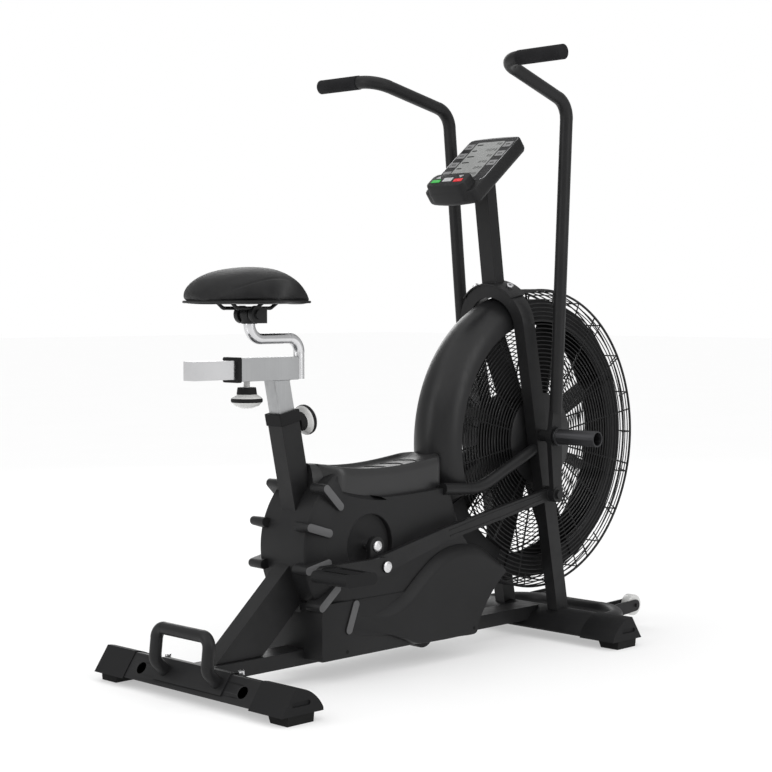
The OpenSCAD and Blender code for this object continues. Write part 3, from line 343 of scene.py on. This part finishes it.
def placed(data, origin, axis):
    """Moves (vertices, faces) so local z lies along axis at origin."""
    turn = Vector(axis).to_track_quat("Z", "Y").to_matrix()
    return [turn @ v + Vector(origin) for v in data[0]], data[1]


# ---- fan cage: close wire rings, spokes and rim hoops ----

SHROUD_EDGE = 0.268
OPEN_LOW, OPEN_HIGH = -120.0, 103.0


def wire_cage():
    wire = 0.0013
    pitch = 0.0092
    hub = 0.100
    for side, node in ((-1, "cage_right"), (1, "cage_left")):
        y = side * (CAGE_HALF - wire)
        parts = []
        radius = hub
        while radius < CAGE_R - 0.006:
            if radius < SHROUD_EDGE - 0.003:
                parts.append(tube_data(fan_ring(radius, y), wire, 6, True))
            else:
                arc = fan_ring(radius, y, OPEN_LOW, OPEN_HIGH - OPEN_LOW)
                parts.append(tube_data(arc, wire, 6))
            radius += pitch
        for r in (hub, SHROUD_EDGE - 0.004):
            parts.append(tube_data(fan_ring(r, y - side * 0.002), 0.0022, 8, True))
        spokes = 16
        for i in range(spokes):
            a = 360 * i / spokes + 9
            turned = (a + 180) % 360 - 180
            end = CAGE_R - 0.002 if OPEN_LOW < turned < OPEN_HIGH else SHROUD_EDGE - 0.004
            arm = [Vector((FAN.x + r * cos(radians(a)), y - side * 0.0025, FAN.z + r * sin(radians(a))))
                   for r in (hub - 0.004, end)]
            parts.append(tube_data(arm, 0.0019, 6))
        plate = lathe_data([(0.022, 0), (hub, 0), (hub + 0.002, 0.0012), (hub, 0.003), (0.022, 0.003)], 64)
        parts.append(placed(plate, (FAN.x, y - 0.0015, FAN.z), (0, 1, 0)))
        obj = add_object("cage_wires_" + node[5:], joined(node + "_wires", parts))
        shade(obj)
        settle(obj, MATERIALS["wire_black"], "frame", (node,))


def cage_rim():
    parts = []
    sweep = OPEN_HIGH - OPEN_LOW
    for y in (-CAGE_HALF + 0.002, -0.031, -0.011, 0.011, 0.031, CAGE_HALF - 0.002):
        thick = 0.0028 if abs(y) > 0.04 else 0.0016
        reach = CAGE_R - thick if abs(y) > 0.04 else CAGE_R - 0.002
        parts.append(tube_data(fan_ring(reach, y, OPEN_LOW, sweep, 128), thick, 8))
    stations = 14
    for i in range(stations):
        a = radians(OPEN_LOW + 4 + i * (sweep - 8) / (stations - 1))
        bow = [(-1, -0.03), (-1, 0), (-0.55, 0), (0, 0), (0.55, 0), (1, 0), (1, -0.03)]
        line = [Vector((FAN.x + (CAGE_R - 0.0045 + dr) * cos(a), k * (CAGE_HALF - 0.002),
                        FAN.z + (CAGE_R - 0.0045 + dr) * sin(a))) for k, dr in bow]
        parts.append(tube_data(line, 0.0017, 6))
    obj = add_object("cage_rim", joined("cage_rim", parts))
    shade(obj)
    settle(obj, MATERIALS["wire_black"], "frame", ("cage_hoops",))


# ---- saddle ----

SADDLE_LOW, SADDLE_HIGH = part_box("saddle")
SADDLE_SIZE = SADDLE_HIGH - SADDLE_LOW


def saddle_half_width(t):
    """Half width at t, from 0 at the back to 1 at the nose's tip."""
    half = SADDLE_SIZE.y / 2
    nose = 0.040
    if t < 0.26:
        return half * sqrt(max(1 - ((0.26 - t) / 0.26) ** 2.3, 0)) ** 0.95
    if t < 0.86:
        k = (t - 0.26) / 0.60
        ease = 0.5 - 0.5 * cos(pi * k)
        return half + (nose - half) * (ease * 0.72 + k * 0.28)
    k = (t - 0.86) / 0.14
    return nose * sqrt(max(1 - k ** 2.2, 0))


def saddle_mesh(name, shrink=0.0):
    """A crowned, lobed top over a flat underside, as rings of cross-sections from back to nose."""
    rings, around = 44, 40
    low, size = SADDLE_LOW, SADDLE_SIZE
    verts = []
    for i in range(rings):
        t = 0.5 - 0.5 * cos(pi * (0.012 + 0.976 * i / (rings - 1)))
        x = low.x + size.x * t
        half = max(saddle_half_width(t) - shrink, 0.002)
        fall = abs(2 * t - 0.92) ** 2.4 if t > 0.46 else abs((0.46 - t) / 0.46) ** 2.6
        edge = max(1 - fall, 0.01) ** 0.5
        crown = (size.z - shrink + 0.009) * (1 - 0.22 * max(t - 0.4, 0)) * edge
        dish = 0.002 * max(0, 1 - abs(t - 0.3) / 0.3)
        for k in range(around):
            a = 2 * pi * k / around
            c, s = cos(a), sin(a)
            y = half * (abs(c) ** 0.9) * (1 if c >= 0 else -1)
            up = abs(s) ** 0.86
            groove = dish * max(0, 1 - (abs(y) / (half * 0.45 + 1e-6)) ** 2)
            z = low.z + 0.010 + (crown - 0.010) * up - groove if s >= 0 else low.z + 0.010 * (1 - up)
            verts.append(Vector((x, y, z)))
    faces = ring_faces(rings, around)
    faces.append(tuple(range(around)))
    faces.append(tuple(reversed(range((rings - 1) * around, rings * around))))
    mesh = mesh_from(name, verts, faces)
    fix = bmesh.new()
    fix.from_mesh(mesh)
    bmesh.ops.recalc_face_normals(fix, faces=fix.faces)
    fix.to_mesh(mesh)
    fix.free()
    return mesh


def swell(obj, cap=0.005):
    """Pressure in a thin cloth skin rounds the pad; no point moves further than the cap."""
    remesh = obj.modifiers.new("remesh", "REMESH")
    remesh.mode = "VOXEL"
    remesh.voxel_size = 0.0045
    apply_modifiers(obj)
    start = [v.co.copy() for v in obj.data.vertices]
    cloth = obj.modifiers.new("cloth", "CLOTH")
    cloth.settings.quality = 6
    cloth.settings.mass = 0.3
    cloth.settings.tension_stiffness = 40
    cloth.settings.bending_stiffness = 8
    cloth.settings.use_pressure = True
    cloth.settings.uniform_pressure_force = 4
    cloth.settings.effector_weights.gravity = 0
    for number in range(1, 21):
        scene.frame_set(number)
    depsgraph = bpy.context.evaluated_depsgraph_get()
    moved = obj.evaluated_get(depsgraph).to_mesh()
    ends = [v.co.copy() for v in moved.vertices]
    obj.modifiers.clear()
    floor = SADDLE_LOW.z
    for vertex, a, b in zip(obj.data.vertices, start, ends):
        step = b - a
        if step.length > cap:
            step = step.normalized() * cap
        vertex.co = a + step
        vertex.co.z = max(vertex.co.z, floor)
    scene.frame_set(1)
    smooth = obj.modifiers.new("smooth", "SMOOTH")
    smooth.factor = 0.5
    smooth.iterations = 8
    subdivide = obj.modifiers.new("subdivide", "SUBSURF")
    subdivide.levels = 1
    apply_modifiers(obj)


def apply_modifiers(obj):
    depsgraph = bpy.context.evaluated_depsgraph_get()
    mesh = bpy.data.meshes.new_from_object(obj.evaluated_get(depsgraph))
    obj.modifiers.clear()
    old = obj.data
    obj.data = mesh
    bpy.data.meshes.remove(old)


def saddle():
    pad = add_object("saddle_pad", saddle_mesh("saddle_pad", 0.004))
    swell(pad)
    cut_seams(pad)
    shade(pad, 60)
    settle(pad, MATERIALS["saddle_skin"], "saddle", ("saddle",))
    saddle_piping()
    saddle_base()


def cut_seams(pad):
    """Presses two sewn seams into the cover, from the back lobes in towards the nose."""
    depth, width = 0.0016, 0.0032
    for vertex in pad.data.vertices:
        co = vertex.co
        t = (co.x - SADDLE_LOW.x) / SADDLE_SIZE.x
        if not 0.02 < t < 0.99 or co.z < SADDLE_LOW.z + 0.012:
            continue
        line = saddle_half_width(t) * 0.80
        away = abs(abs(co.y) - line)
        if away < width:
            co.z -= depth * (0.5 + 0.5 * cos(pi * away / width))


def saddle_piping():
    """The cover's lower hem, a soft roll round the saddle's edge."""
    count = 64
    points = []
    for i in range(count):
        t = 0.5 - 0.5 * cos(2 * pi * i / count)
        side = 1 if i < count / 2 else -1
        t = min(max(t, 0.002), 0.998)
        points.append(Vector((SADDLE_LOW.x + 0.003 + (SADDLE_SIZE.x - 0.006) * t,
                              side * max(saddle_half_width(t) - 0.0045, 0), SADDLE_LOW.z + 0.004)))
    mesh = joined("saddle_hem", [tube_data(points, 0.0026, 10, True)])
    obj = add_object("saddle_hem", mesh)
    shade(obj, 80)
    settle(obj, MATERIALS["saddle_skin"], "saddle")


def saddle_base():
    """Plastic base pan under the cushion, with a rolled lip and two cross ribs."""
    rings, around = 30, 28
    verts, faces = [], []
    for i in range(rings):
        t = 0.03 + 0.94 * i / (rings - 1)
        x = SADDLE_LOW.x + SADDLE_SIZE.x * t
        half = max(saddle_half_width(t) - 0.010, 0.003)
        for k in range(around):
            a = 2 * pi * k / around
            rib = 0.0012 if int(t * 14) % 4 == 0 else 0
            z = SADDLE_LOW.z + 0.0035 + 0.003 * sin(a) - (rib if sin(a) < 0 else 0)
            verts.append(Vector((x, half * cos(a), z)))
    for i in range(rings - 1):
        for k in range(around):
            m = (k + 1) % around
            faces.append((i * around + k, (i + 1) * around + k, (i + 1) * around + m, i * around + m))
    faces.append(tuple(range(around)))
    faces.append(tuple(reversed(range((rings - 1) * around, rings * around))))
    obj = add_object("saddle_base_pan", mesh_from("saddle_base_pan", verts, faces))
    shade(obj)
    settle(obj, MATERIALS["cap_plastic"], "saddle")


# ---- shapes drawn as an outline and raised in levels ----

def smooth_line(points, per=5):
    """A closed Catmull-Rom line through the points; each point may carry more values after u and v."""
    out = []
    count = len(points)
    for i in range(count):
        a, b, c, d = (points[(i + k) % count] for k in (-1, 0, 1, 2))
        for j in range(per):
            t = j / per
            out.append(tuple(0.5 * (2 * q + (r - p) * t + (2 * p - 5 * q + 4 * r - s) * t * t
                                    + (3 * q - p - 3 * r + s) * t ** 3)
                             for p, q, r, s in zip(a, b, c, d)))
    return out


def round_rect(u0, u1, v0, v1, corner, steps=5, bulge_low=0.0, bulge_high=0.0):
    """Rounded rectangle, turning left, whose lower and upper edges may bow outwards."""
    out = []
    turns = ((u1 - corner, v0 + corner, -90), (u1 - corner, v1 - corner, 0),
             (u0 + corner, v1 - corner, 90), (u0 + corner, v0 + corner, 180))
    middle, half = (u0 + u1) / 2, (u1 - u0) / 2
    for u, v, start in turns:
        for k in range(steps + 1):
            a = radians(start + 90 * k / steps)
            out.append((u + corner * cos(a), v + corner * sin(a)))
        edge = v0 if start == 180 else v1 if start == 0 else None
        if edge is not None:
            line = (-0.6, -0.3, 0, 0.3, 0.6) if start == 180 else (0.6, 0.3, 0, -0.3, -0.6)
            out += [(middle + k * half, edge) for k in line]
    bowed = []
    for u, v in out:
        rest = max(1 - ((u - middle) / half) ** 2, 0)
        share = (v - v0) / (v1 - v0)
        bowed.append((u, v - bulge_low * rest * (1 - share) + bulge_high * rest * share))
    return bowed


def stadium(u0, v0, u1, v1, r, steps=8):
    """Outline round two end circles."""
    along = atan2(v1 - v0, u1 - u0)
    out = []
    for u, v, turn in ((u0, v0, pi / 2), (u1, v1, -pi / 2)):
        for k in range(steps + 1):
            a = along + turn + pi * k / steps
            out.append((u + r * cos(a), v + r * sin(a)))
    return out


def raised(outline, levels, place):
    """A solid from an outline turning left: each level is (inset, height), closed at both ends.

    A point's third value scales its inset, and place(u, v, h) puts it in the frame.
    """
    count = len(outline)
    inward = []
    for i in range(count):
        (ua, va), (ub, vb) = outline[i - 1][:2], outline[(i + 1) % count][:2]
        length = max(sqrt((ub - ua) ** 2 + (vb - va) ** 2), 1e-9)
        inward.append((-(vb - va) / length, (ub - ua) / length))
    verts = []
    for inset, height in levels:
        for point, normal in zip(outline, inward):
            shift = inset * (point[2] if len(point) > 2 else 1)
            verts.append(place(point[0] + normal[0] * shift, point[1] + normal[1] * shift, height))
    faces = ring_faces(len(levels), count)
    faces.append(tuple(reversed(range(count))))
    faces.append(tuple((len(levels) - 1) * count + k for k in range(count)))
    return verts, faces


def outward(obj):
    fix = bmesh.new()
    fix.from_mesh(obj.data)
    bmesh.ops.recalc_face_normals(fix, faces=fix.faces)
    fix.to_mesh(obj.data)
    fix.free()


def piece(name, parts, material, body, replaces=(), angle=40):
    obj = add_object(name, joined(name, parts))
    outward(obj)
    shade(obj, angle)
    return settle(obj, material, body, replaces)


# ---- housing ----

# The rear edge in metres, and stations in millimetres from it, the crank or the centre plane
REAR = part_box("rear_stabilizer")[0].x
DRUM_SHOULDER = 336
DISH_HALF = 62
LUG_INNER = 121
LUG_OUTER = 174
LUG_ANGLES = (135, 163, 191, 219, 249)
SCREWS = ((346, 58, 82.1), (705, 60, 96.6))


def on_side(side):
    """Places millimetres from the rear edge, height and distance from the centre plane."""
    return lambda u, v, h: Vector((REAR + u / 1000, side * h / 1000, v / 1000))


def guard_face(u):
    """Distance of the guard's outer face from the centre plane."""
    k = min(max((u - 395) / 95, 0), 1)
    return 82.5 + 14 * k * k * (3 - 2 * k)


def dish_foot(u):
    """Height at which the top cover's side meets the housing."""
    return 357 + (0.0011 if u < 477 else 0.00024) * (u - 477) ** 2


def cut_top(spot):
    """Lowers the drum under the top cover, sloping from the cover's side to the housing's face."""
    u, h = (spot.x - REAR) * 1000, abs(spot.y) * 1000
    if u < DRUM_SHOULDER:
        return spot
    roof = dish_foot(u) + 2 - 0.45 * max(h - DISH_HALF, 0)
    return Vector((spot.x, spot.y, min(spot.z, roof / 1000)))


def housing():
    crank_u, crank_v = (CRANK.x - REAR) * 1000, CRANK.z * 1000
    drum = [(12, 66), (60, 66), (63, 67.5), (63, 79), (64.5, 80), (112, 80), (120, 79.6), (126, 78.4),
            (138, 75.5), (150, 72), (158, 69), (163, 66.5), (165.5, 63.5), (166, 60), (166, 0)]
    arc = (radians(a) for a in range(80, -76, -8))
    body = [(crank_u + 100 * cos(a), crank_v + 100 * sin(a), 0) for a in arc]
    body += [(441, 60, 0), (700, 60, 1), (716, 150, 1), (722, 225, 1), (692, 262, 1),
             (667, 316, 1), (652, 362, 1)]
    body += [(u, dish_foot(u), 0) for u in range(650, 431, -15)]
    edge = [(372, 84, 0.15), (414, 79, 0.15), (456, 76, 0.15), (500, 61, 0.15), (535, 48, 0.15),
            (600, 45, 0.15), (660, 45, 0.15), (711, 46, 0.1), (722, 68, 0.1), (738, 95, 0.1),
            (763, 127, 0.1), (797, 158, 0.1),
            (810, 168, 0.1), (803, 186, 0.4), (783, 201, 0.8), (737, 229, 1), (689, 240, 1), (642, 237, 1),
            (596, 222, 1), (549, 192, 1), (502, 156, 1), (456, 139, 1), (410, 141, 1), (376, 150, 0.8),
            (356, 136, 0.3), (354, 108, 0.2)]
    base = round_rect(278, 715, 46, 160, 3, 2)
    for side, word in ((-1, "right"), (1, "left")):
        place = on_side(side)
        profile = [(r / 1000, h / 1000) for r, h in drum]
        turned = placed(lathe_data(profile, 128), (CRANK.x, 0, CRANK.z), (0, side, 0))
        parts = [([cut_top(v) for v in turned[0]], turned[1])]
        crowned = [(0, 0), (0, 66), (1.5, 72), (5, 76.8), (11, 79.2), (14, 79.8)]
        parts.append(raised(smooth_line(body, 1), crowned, place))
        parts.append(raised(base, [(0, 0), (0, 79.5), (0.8, 81.3), (2.5, 82)], place))
        bulge = lambda u, v, h: place(u, v, guard_face(u) + h if h > -60 else 30)
        chamfer = [(0, -70), (0, -15), (1.2, -13), (18, -1.6), (21, -0.4), (25, 0)]
        parts.append(raised(smooth_line(edge), chamfer, bulge))
        tips = []
        for angle in LUG_ANGLES:
            c, s = cos(radians(angle)), sin(radians(angle))
            line = (crank_u + LUG_INNER * c, crank_v + LUG_INNER * s,
                    crank_u + LUG_OUTER * c, crank_v + LUG_OUTER * s)
            parts.append(raised(stadium(*line, 9), [(-0.8, 46), (0, 83.5), (0.8, 85)], place))
            tips.append(raised(stadium(*line, 8.1), [(0, 84.6), (0, 85.4), (0.6, 85.8)], place))
        piece("housing_" + word, parts, MATERIALS["moulding"], "frame", ("cover_" + word,), 30)
        piece("lug_tips_" + word, tips, MATERIALS["lug_tip"], "frame")
        # The screw holes are not cut: dark rubber discs lie on the face where they are, their darkness
        # painted shade of the hollows
        hole_shade = []
        for u, v, h in SCREWS:
            ring = [(0.0001, 0), (0.0036, 0), (0.0038, 0.0002), (0.0001, 0.0003)]
            hole_shade.append(placed(lathe_data(ring, 20), place(u, v, h), (0, side, 0)))
        piece("hole_shade_discs_" + word, hole_shade, MATERIALS["rubber_black"], "frame")


def rim_height(u):
    """Height of the top cover's rim along the bike."""
    k = (u - 470) / 1000
    return 415 + (650 * k * k if u < 470 else 700 * k * k - 1300 * k ** 3)


def top_dish():
    """Saddle-shaped dish with a rolled rim, over the housing between seat tube and fan."""
    low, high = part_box("top_cover")
    first, last = (low.x - REAR) * 1000, (high.x - REAR) * 1000 + 11
    rings = 40
    verts = []
    for i in range(rings):
        u = first + (last - first) * i / (rings - 1)
        top = rim_height(u)
        under = dish_foot(u) - 9
        past = max(u - (last - 34), 0) / 34
        stern = max(first + 46 - u, 0) / 46
        half = DISH_HALF * sqrt(max(1 - past ** 2.4, 0.05)) * (1 - 0.52 * stern ** 2)
        inner = max(0, min(1, (last - 6 - u) / 24, (u - first - 12) / 40))
        dip = 9 * inner
        section = [(1, under), (1, top - 17), (0.988, top - 10), (0.965, top - 5), (0.935, top - 1.8),
                   (0.9, top - 0.4), (0.87, top), (0.84, top - 0.6 * inner), (0.8, top - dip * 0.4),
                   (0.75, top - dip * 0.75),
                   (0.68, top - dip * 0.95), (0.4, top - dip)]
        across = [(half * k, z) for k, z in section] + [(-half * k, z) for k, z in reversed(section)]
        verts += [Vector((REAR + u / 1000, y / 1000, z / 1000)) for y, z in across]
    count = len(verts) // rings
    faces = ring_faces(rings, count)
    faces.append(tuple(range(count)))
    faces.append(tuple((rings - 1) * count + k for k in range(count)))
    hump = [(1.0, 60), (1.0, 34), (0.96, 24), (0.88, 12), (0.74, 3), (0.5, 0)]
    parts = [(verts, faces)]
    rows, more = 9, []
    for i in range(rows):
        u = 298 + (first + 44 - 298) * i / (rows - 1)
        top = 432 - 0.11 * (u - 298) - 3 * (i == rows - 1)
        width = 34 + 10 * i / (rows - 1)
        across = [(width * k, top - z) for k, z in hump]
        across += [(-width * k, top - z) for k, z in reversed(hump)]
        more += [Vector((REAR + u / 1000, y / 1000, z / 1000)) for y, z in across]
    wide = len(more) // rows
    quads = ring_faces(rows, wide)
    quads += [tuple(range(wide)), tuple((rows - 1) * wide + k for k in range(wide))]
    parts.append((more, quads))
    piece("top_dish", parts, MATERIALS["dish_gloss"], "frame", ("top_cover", "top_pad"), 50)
    ribs = []
    for u in (425, 470, 515, 560, 600):
        line = []
        for k in range(-6, 7):
            along = u + 16 * (1 - abs(k) / 6) ** 0.8 - (5 if abs(k) == 6 else 0)
            line.append(Vector((REAR + along / 1000, k * 6.2 / 1000, (rim_height(along) - 8.7) / 1000)))
        ribs.append(tube_data(line, 0.0013, 8))
    piece("dish_ribs", ribs, MATERIALS["cap_plastic"], "frame")


# ---- console ----

TILT = radians(39)
OUT = Vector((-sin(TILT), 0, cos(TILT)))
UP = Vector((cos(TILT), 0, sin(TILT)))
FACE = centre("key_enter") - OUT * 0.01825 + UP * 0.0845


def on_face(u, v, h):
    """Millimetres to the rider's right, up the slope and out of the face."""
    return FACE + Vector((0, -u / 1000, 0)) + UP * (v / 1000) + OUT * (h / 1000)


def plate(u0, u1, v0, v1, h0, h1, corner=1.5, soft=0.3):
    return raised(round_rect(u0, u1, v0, v1, corner, 3), [(0, h0), (0, h1 - soft), (soft, h1)], on_face)


def console():
    rim = round_rect(-74, 74, -99.5, 99.5, 13, 6, 9, 3)
    back_to_face = [(9, -34), (4, -33), (0.6, -28), (0, -24), (0, -4), (0.8, -1.4), (2.5, 0), (4.5, 0.2)]
    body = raised(rim, back_to_face, on_face)
    lobe = round_rect(-55, 55, -106, -60.5, 14, 7, 4, 2)
    chin = raised(lobe, [(-2, -20), (-2, 0), (-1, 3), (0, 8), (0.5, 17), (1.5, 20), (4, 21)], on_face)
    piece("console_pod", [body, chin], MATERIALS["moulding"], "frame", ("console_case",), 32)
    piece("console_face", [plate(-69, 69, -58, 94, -3, 0.45, 9, 0.2)], MATERIALS["screen_panel"], "frame",
          ("console_panel",))
    line = [on_face(u, v, 0.55) for u, v in round_rect(-70.5, 70.5, -59.5, 96, 10, 5)]
    piece("console_line", [tube_data(line, 0.00045, 6, True)], MATERIALS["steel_bright"], "frame")
    piece("console_display", [plate(-41, 40, -50, 84, 0.3, 1.0, 5)], MATERIALS["lcd_grey"], "frame")
    soft_keys = [(55, 70), (55, 36), (55, 2), (-56, 70), (-56, 36), (-56, 2)]
    pads = [plate(u - 11.5, u + 11.5, v - 9.5, v + 9.5, 0.3, 1.2, 2) for u, v in soft_keys]
    pads.append(plate(-66, -44, -32, -22, 0.3, 1.1, 2))
    piece("membrane_keys", pads, MATERIALS["membrane"], "frame")
    marks = [plate(u - 6, u + 6, v - 1.4, v + 1.4, 1.0, 1.35, 0.5, 0.1) for u, v in soft_keys]
    rows = ((74, 17, 2), (52, 13, 4), (30, 20, 2), (8, 20, 3), (-14, 14, 3), (-36, 0, 3))
    for v, word, digits in rows:
        if word:
            marks.append(plate(-36, -36 + word, v - 2, v + 2, 0.9, 1.15, 0.6, 0.1))
        for k in range(digits):
            u = 32 - 8 * k
            marks.append(plate(u - 2.6, u - 1.8, v - 4, v + 4, 0.9, 1.12, 0.3, 0.05))
            marks.append(plate(u + 1.8, u + 2.6, v - 4, v + 4, 0.9, 1.12, 0.3, 0.05))
            for level in (-3.8, 0, 3.8)[k % 2:]:
                marks.append(plate(u - 2, u + 2, v + level - 0.4, v + level + 0.4, 0.9, 1.12, 0.3, 0.05))
    piece("display_marks", marks, MATERIALS["rubber_black"], "frame")
    for name, u, way in (("key_up", -31, 1), ("key_down", 31, -1)):
        spot = [(-7, -4 * way), (7, -4 * way), (0, 4.5 * way)]
        spot = [(u + a, -74.5 + b) for a, b in (spot if way > 0 else reversed(spot))]
        cap = raised(spot, [(0, 15), (0, 21.6), (0.8, 22)], on_face)
        piece(name + "_arrow", [cap], MATERIALS["key_grey"], name, (name,))


# ---- small fittings ----

def knob_trim():
    """Black band at each knob's widest part and its dark neck."""
    _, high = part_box("knob_height")
    lean = radians(11.8)
    spots = [("knob_height", Vector((high.x - 0.0406, 0, high.z - 0.0349)), (cos(lean), 0, sin(lean)))]
    low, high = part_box("knob_slide")
    spots.append(("knob_slide", Vector(((low.x + high.x) / 2, 0, low.z + 0.040)), (0, 0, -1)))
    band = [(0.028, 0.0195), (0.0302, 0.0205), (0.0309, 0.024), (0.0302, 0.0275), (0.028, 0.0285)]
    neck = [(0.008, -0.001), (0.0175, -0.001), (0.0182, 0.001), (0.0198, 0.0125), (0.0195, 0.0135),
            (0.010, 0.0135)]
    for node, origin, axis in spots:
        parts = [placed(lathe_data(profile, 56), origin, axis) for profile in (band, neck)]
        piece(node + "_band", parts, MATERIALS["cap_plastic"], node)


def sleeve_collar():
    low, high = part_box("seat_post")
    top = high.z
    ring = round_rect(-23.6, 23.6, top * 1000 - 47, top * 1000 + 1.6, 4, 4)
    start = (low.x - 0.001) * 1000
    place = lambda u, v, h: Vector((h / 1000, u / 1000, v / 1000))
    collar = raised(ring, [(1, start - 1), (0, start), (0, start + 8), (1, start + 9)], place)
    piece("sleeve_collar", [collar], MATERIALS["cap_plastic"], "post")


def pin_caps():
    """Bright domed caps on the crank axle and the rod pins."""
    dome = [(0.0106, 0), (0.0112, 0.0006), (0.0112, 0.0022), (0.0098, 0.0034), (0.0060, 0.0038),
            (0.0055, 0.0030), (0.0004, 0.0030)]
    parts = []
    for side, node in ((-1, "crank_arm_right"), (1, "crank_arm_left")):
        low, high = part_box(node)
        face = high.y if side > 0 else low.y
        shift = 0.038 * side
        pin = (CRANK.x + shift * 0.019, face, CRANK.z + shift)
        parts.append(placed(lathe_data(dome, 32), pin, (0, side, 0)))
        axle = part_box("crank_axle")
        end = axle[1].y if side > 0 else axle[0].y
        parts.append(placed(lathe_data(dome, 32), (CRANK.x, end, CRANK.z), (0, side, 0)))
    piece("pin_caps", parts, MATERIALS["cap_silver"], "crank")


def rod_ribs():
    """Two raised lines along each connecting rod."""
    for side, word in ((-1, "right"), (1, "left")):
        pin = Vector((CRANK.x + side * 0.0007, 0, CRANK.z + side * 0.038))
        turn = radians(-2.4 * side)
        pivot = centre("foot_pegs")
        fore, drop = 0.012, 0.128
        eye = pivot + Vector((fore * cos(turn) - drop * sin(turn), 0, -fore * sin(turn) - drop * cos(turn)))
        eye.y = 0
        bend = pin + (eye - pin) * 0.36 + Vector((0, 0, 0.008))
        along = (eye - bend).normalized()
        off = Vector((-along.z, 0, along.x))
        parts = []
        for gap in (-0.006, 0.006):
            line = []
            for share, lift in ((0.03, 0), (0.12, 0), (0.3, 0.0018), (0.55, 0.0018), (0.8, 0), (0.9, 0)):
                spot = bend + (eye - bend) * share + off * (gap + (lift if gap > 0 else -lift))
                line.append(Vector((spot.x, side * 0.1129, spot.z)))
            parts.append(tube_data(line, 0.0014, 8))
        piece("rod_lines_" + word, parts, MATERIALS["frame_black"], "rod_" + word)


# ---- stage, light and camera ----

def stage():
    size = 30
    data = [(-size, -size, 0), (size, -size, 0), (size, size, 0), (-size, size, 0)]
    floor = add_object("floor", mesh_from("floor", data, [(0, 1, 2, 3)]))
    mat, tree, shader = new_material("floor", (0.9, 0.9, 0.9), 0.9, specular=0.05)
    cloud = texture(tree, "ShaderNodeTexNoise", 2)
    tree.links.new(ramp(tree, cloud.outputs["Fac"], grey(0.895), grey(0.905)), shader.inputs["Base Color"])
    glow = tree.nodes.new("ShaderNodeEmission")
    glow.inputs["Color"].default_value = (1, 1, 1, 1)
    glow.inputs["Strength"].default_value = 1.0
    mix = tree.nodes.new("ShaderNodeMixShader")
    mix.inputs["Fac"].default_value = 0.42
    out = tree.nodes["Material Output"]
    tree.links.new(shader.outputs["BSDF"], mix.inputs[1])
    tree.links.new(glow.outputs["Emission"], mix.inputs[2])
    tree.links.new(mix.outputs["Shader"], out.inputs["Surface"])
    floor.data.materials.append(mat)


def softbox(name, place, target, size, power):
    light = bpy.data.lights.new(name, "AREA")
    light.shape = "RECTANGLE"
    light.size, light.size_y = size
    light.energy = power
    obj = bpy.data.objects.new(name, light)
    scene.collection.objects.link(obj)
    obj.location = place
    obj.rotation_euler = (Vector(target) - Vector(place)).to_track_quat("-Z", "Y").to_euler()


def lighting():
    world = bpy.data.worlds.new("studio")
    scene.world = world
    world.use_nodes = True
    tree = world.node_tree
    back = tree.nodes["Background"]
    back.inputs["Color"].default_value = (1, 1, 1, 1)
    back.inputs["Strength"].default_value = 0.55
    seen = tree.nodes.new("ShaderNodeBackground")
    seen.inputs["Color"].default_value = (1, 1, 1, 1)
    seen.inputs["Strength"].default_value = 1.0
    path = tree.nodes.new("ShaderNodeLightPath")
    mix = tree.nodes.new("ShaderNodeMixShader")
    tree.links.new(path.outputs["Is Camera Ray"], mix.inputs["Fac"])
    tree.links.new(back.outputs["Background"], mix.inputs[1])
    tree.links.new(seen.outputs["Background"], mix.inputs[2])
    tree.links.new(mix.outputs["Shader"], tree.nodes["World Output"].inputs["Surface"])
    middle = (0, 0, 0.6)
    sky = bpy.data.lights.new("overhead", "SUN")
    sky.energy = 1.75
    sky.angle = radians(100)
    high = bpy.data.objects.new("overhead", sky)
    scene.collection.objects.link(high)
    high.rotation_euler = (radians(12), radians(-14), 0)
    softbox("left_fill", (-3.4, 0.8, 1.7), middle, (1.4, 2.4), 26)
    softbox("right_key", (0.6, -3.8, 1.9), middle, (1.6, 2.6), 34)
    softbox("back_rim", (1.9, 3.1, 2.0), middle, (1.6, 2.0), 24)


def camera():
    """Low and behind the rider's right, with a long lens."""
    data = bpy.data.cameras.new("camera")
    data.sensor_width = 36
    data.lens = 79.85
    data.clip_end = 100
    obj = bpy.data.objects.new("camera", data)
    scene.collection.objects.link(obj)
    rear_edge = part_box("rear_stabilizer")[0].x - 0.0038
    obj.location = (rear_edge - 1.9797, -2.5100, 0.7469)
    forward = Vector((0.7077, 0.7049, -0.0478))
    obj.rotation_euler = forward.to_track_quat("-Z", "Y").to_euler()
    scene.camera = obj
    scene.view_settings.view_transform = "Standard"


# Width of the softened edges, by material slot
BEVELS = {
    "frame_black": 0.0016, "moulding": 0.0022, "cap_plastic": 0.0022, "rubber_black": 0.001,
    "post_grey": 0.0018, "gloss_shell": 0.0006, "screen_panel": 0.0006, "key_green": 0.0008,
    "key_red": 0.0008, "key_grey": 0.0008, "knob_white": 0.0012, "wheel_white": 0.0015,
    "steel_bright": 0.0005, "peg_metal": 0.0005, "belt_rubber": 0.0004, "foam_grip": 0.001,
}

# Nodes whose fine or curved edges take no bevel
SHARP = ("cover_right", "cover_left", "shroud", "fan_wheel", "seat_slider", "handle_right", "handle_left",
         "side_braces", "front_bar", "lift_handle")


def dress_nodes():
    for part in frame["record"]["subparts"]:
        slot = part["material_slot"]
        soft = 0 if part["node"] in SHARP else BEVELS.get(slot, 0)
        dress(nodes[part["node"]], MATERIALS[slot], soft)


camera()
stage()
lighting()
dress_nodes()
wire_cage()
cage_rim()
housing()
top_dish()
console()
knob_trim()
sleeve_collar()
pin_caps()
rod_ribs()
saddle()
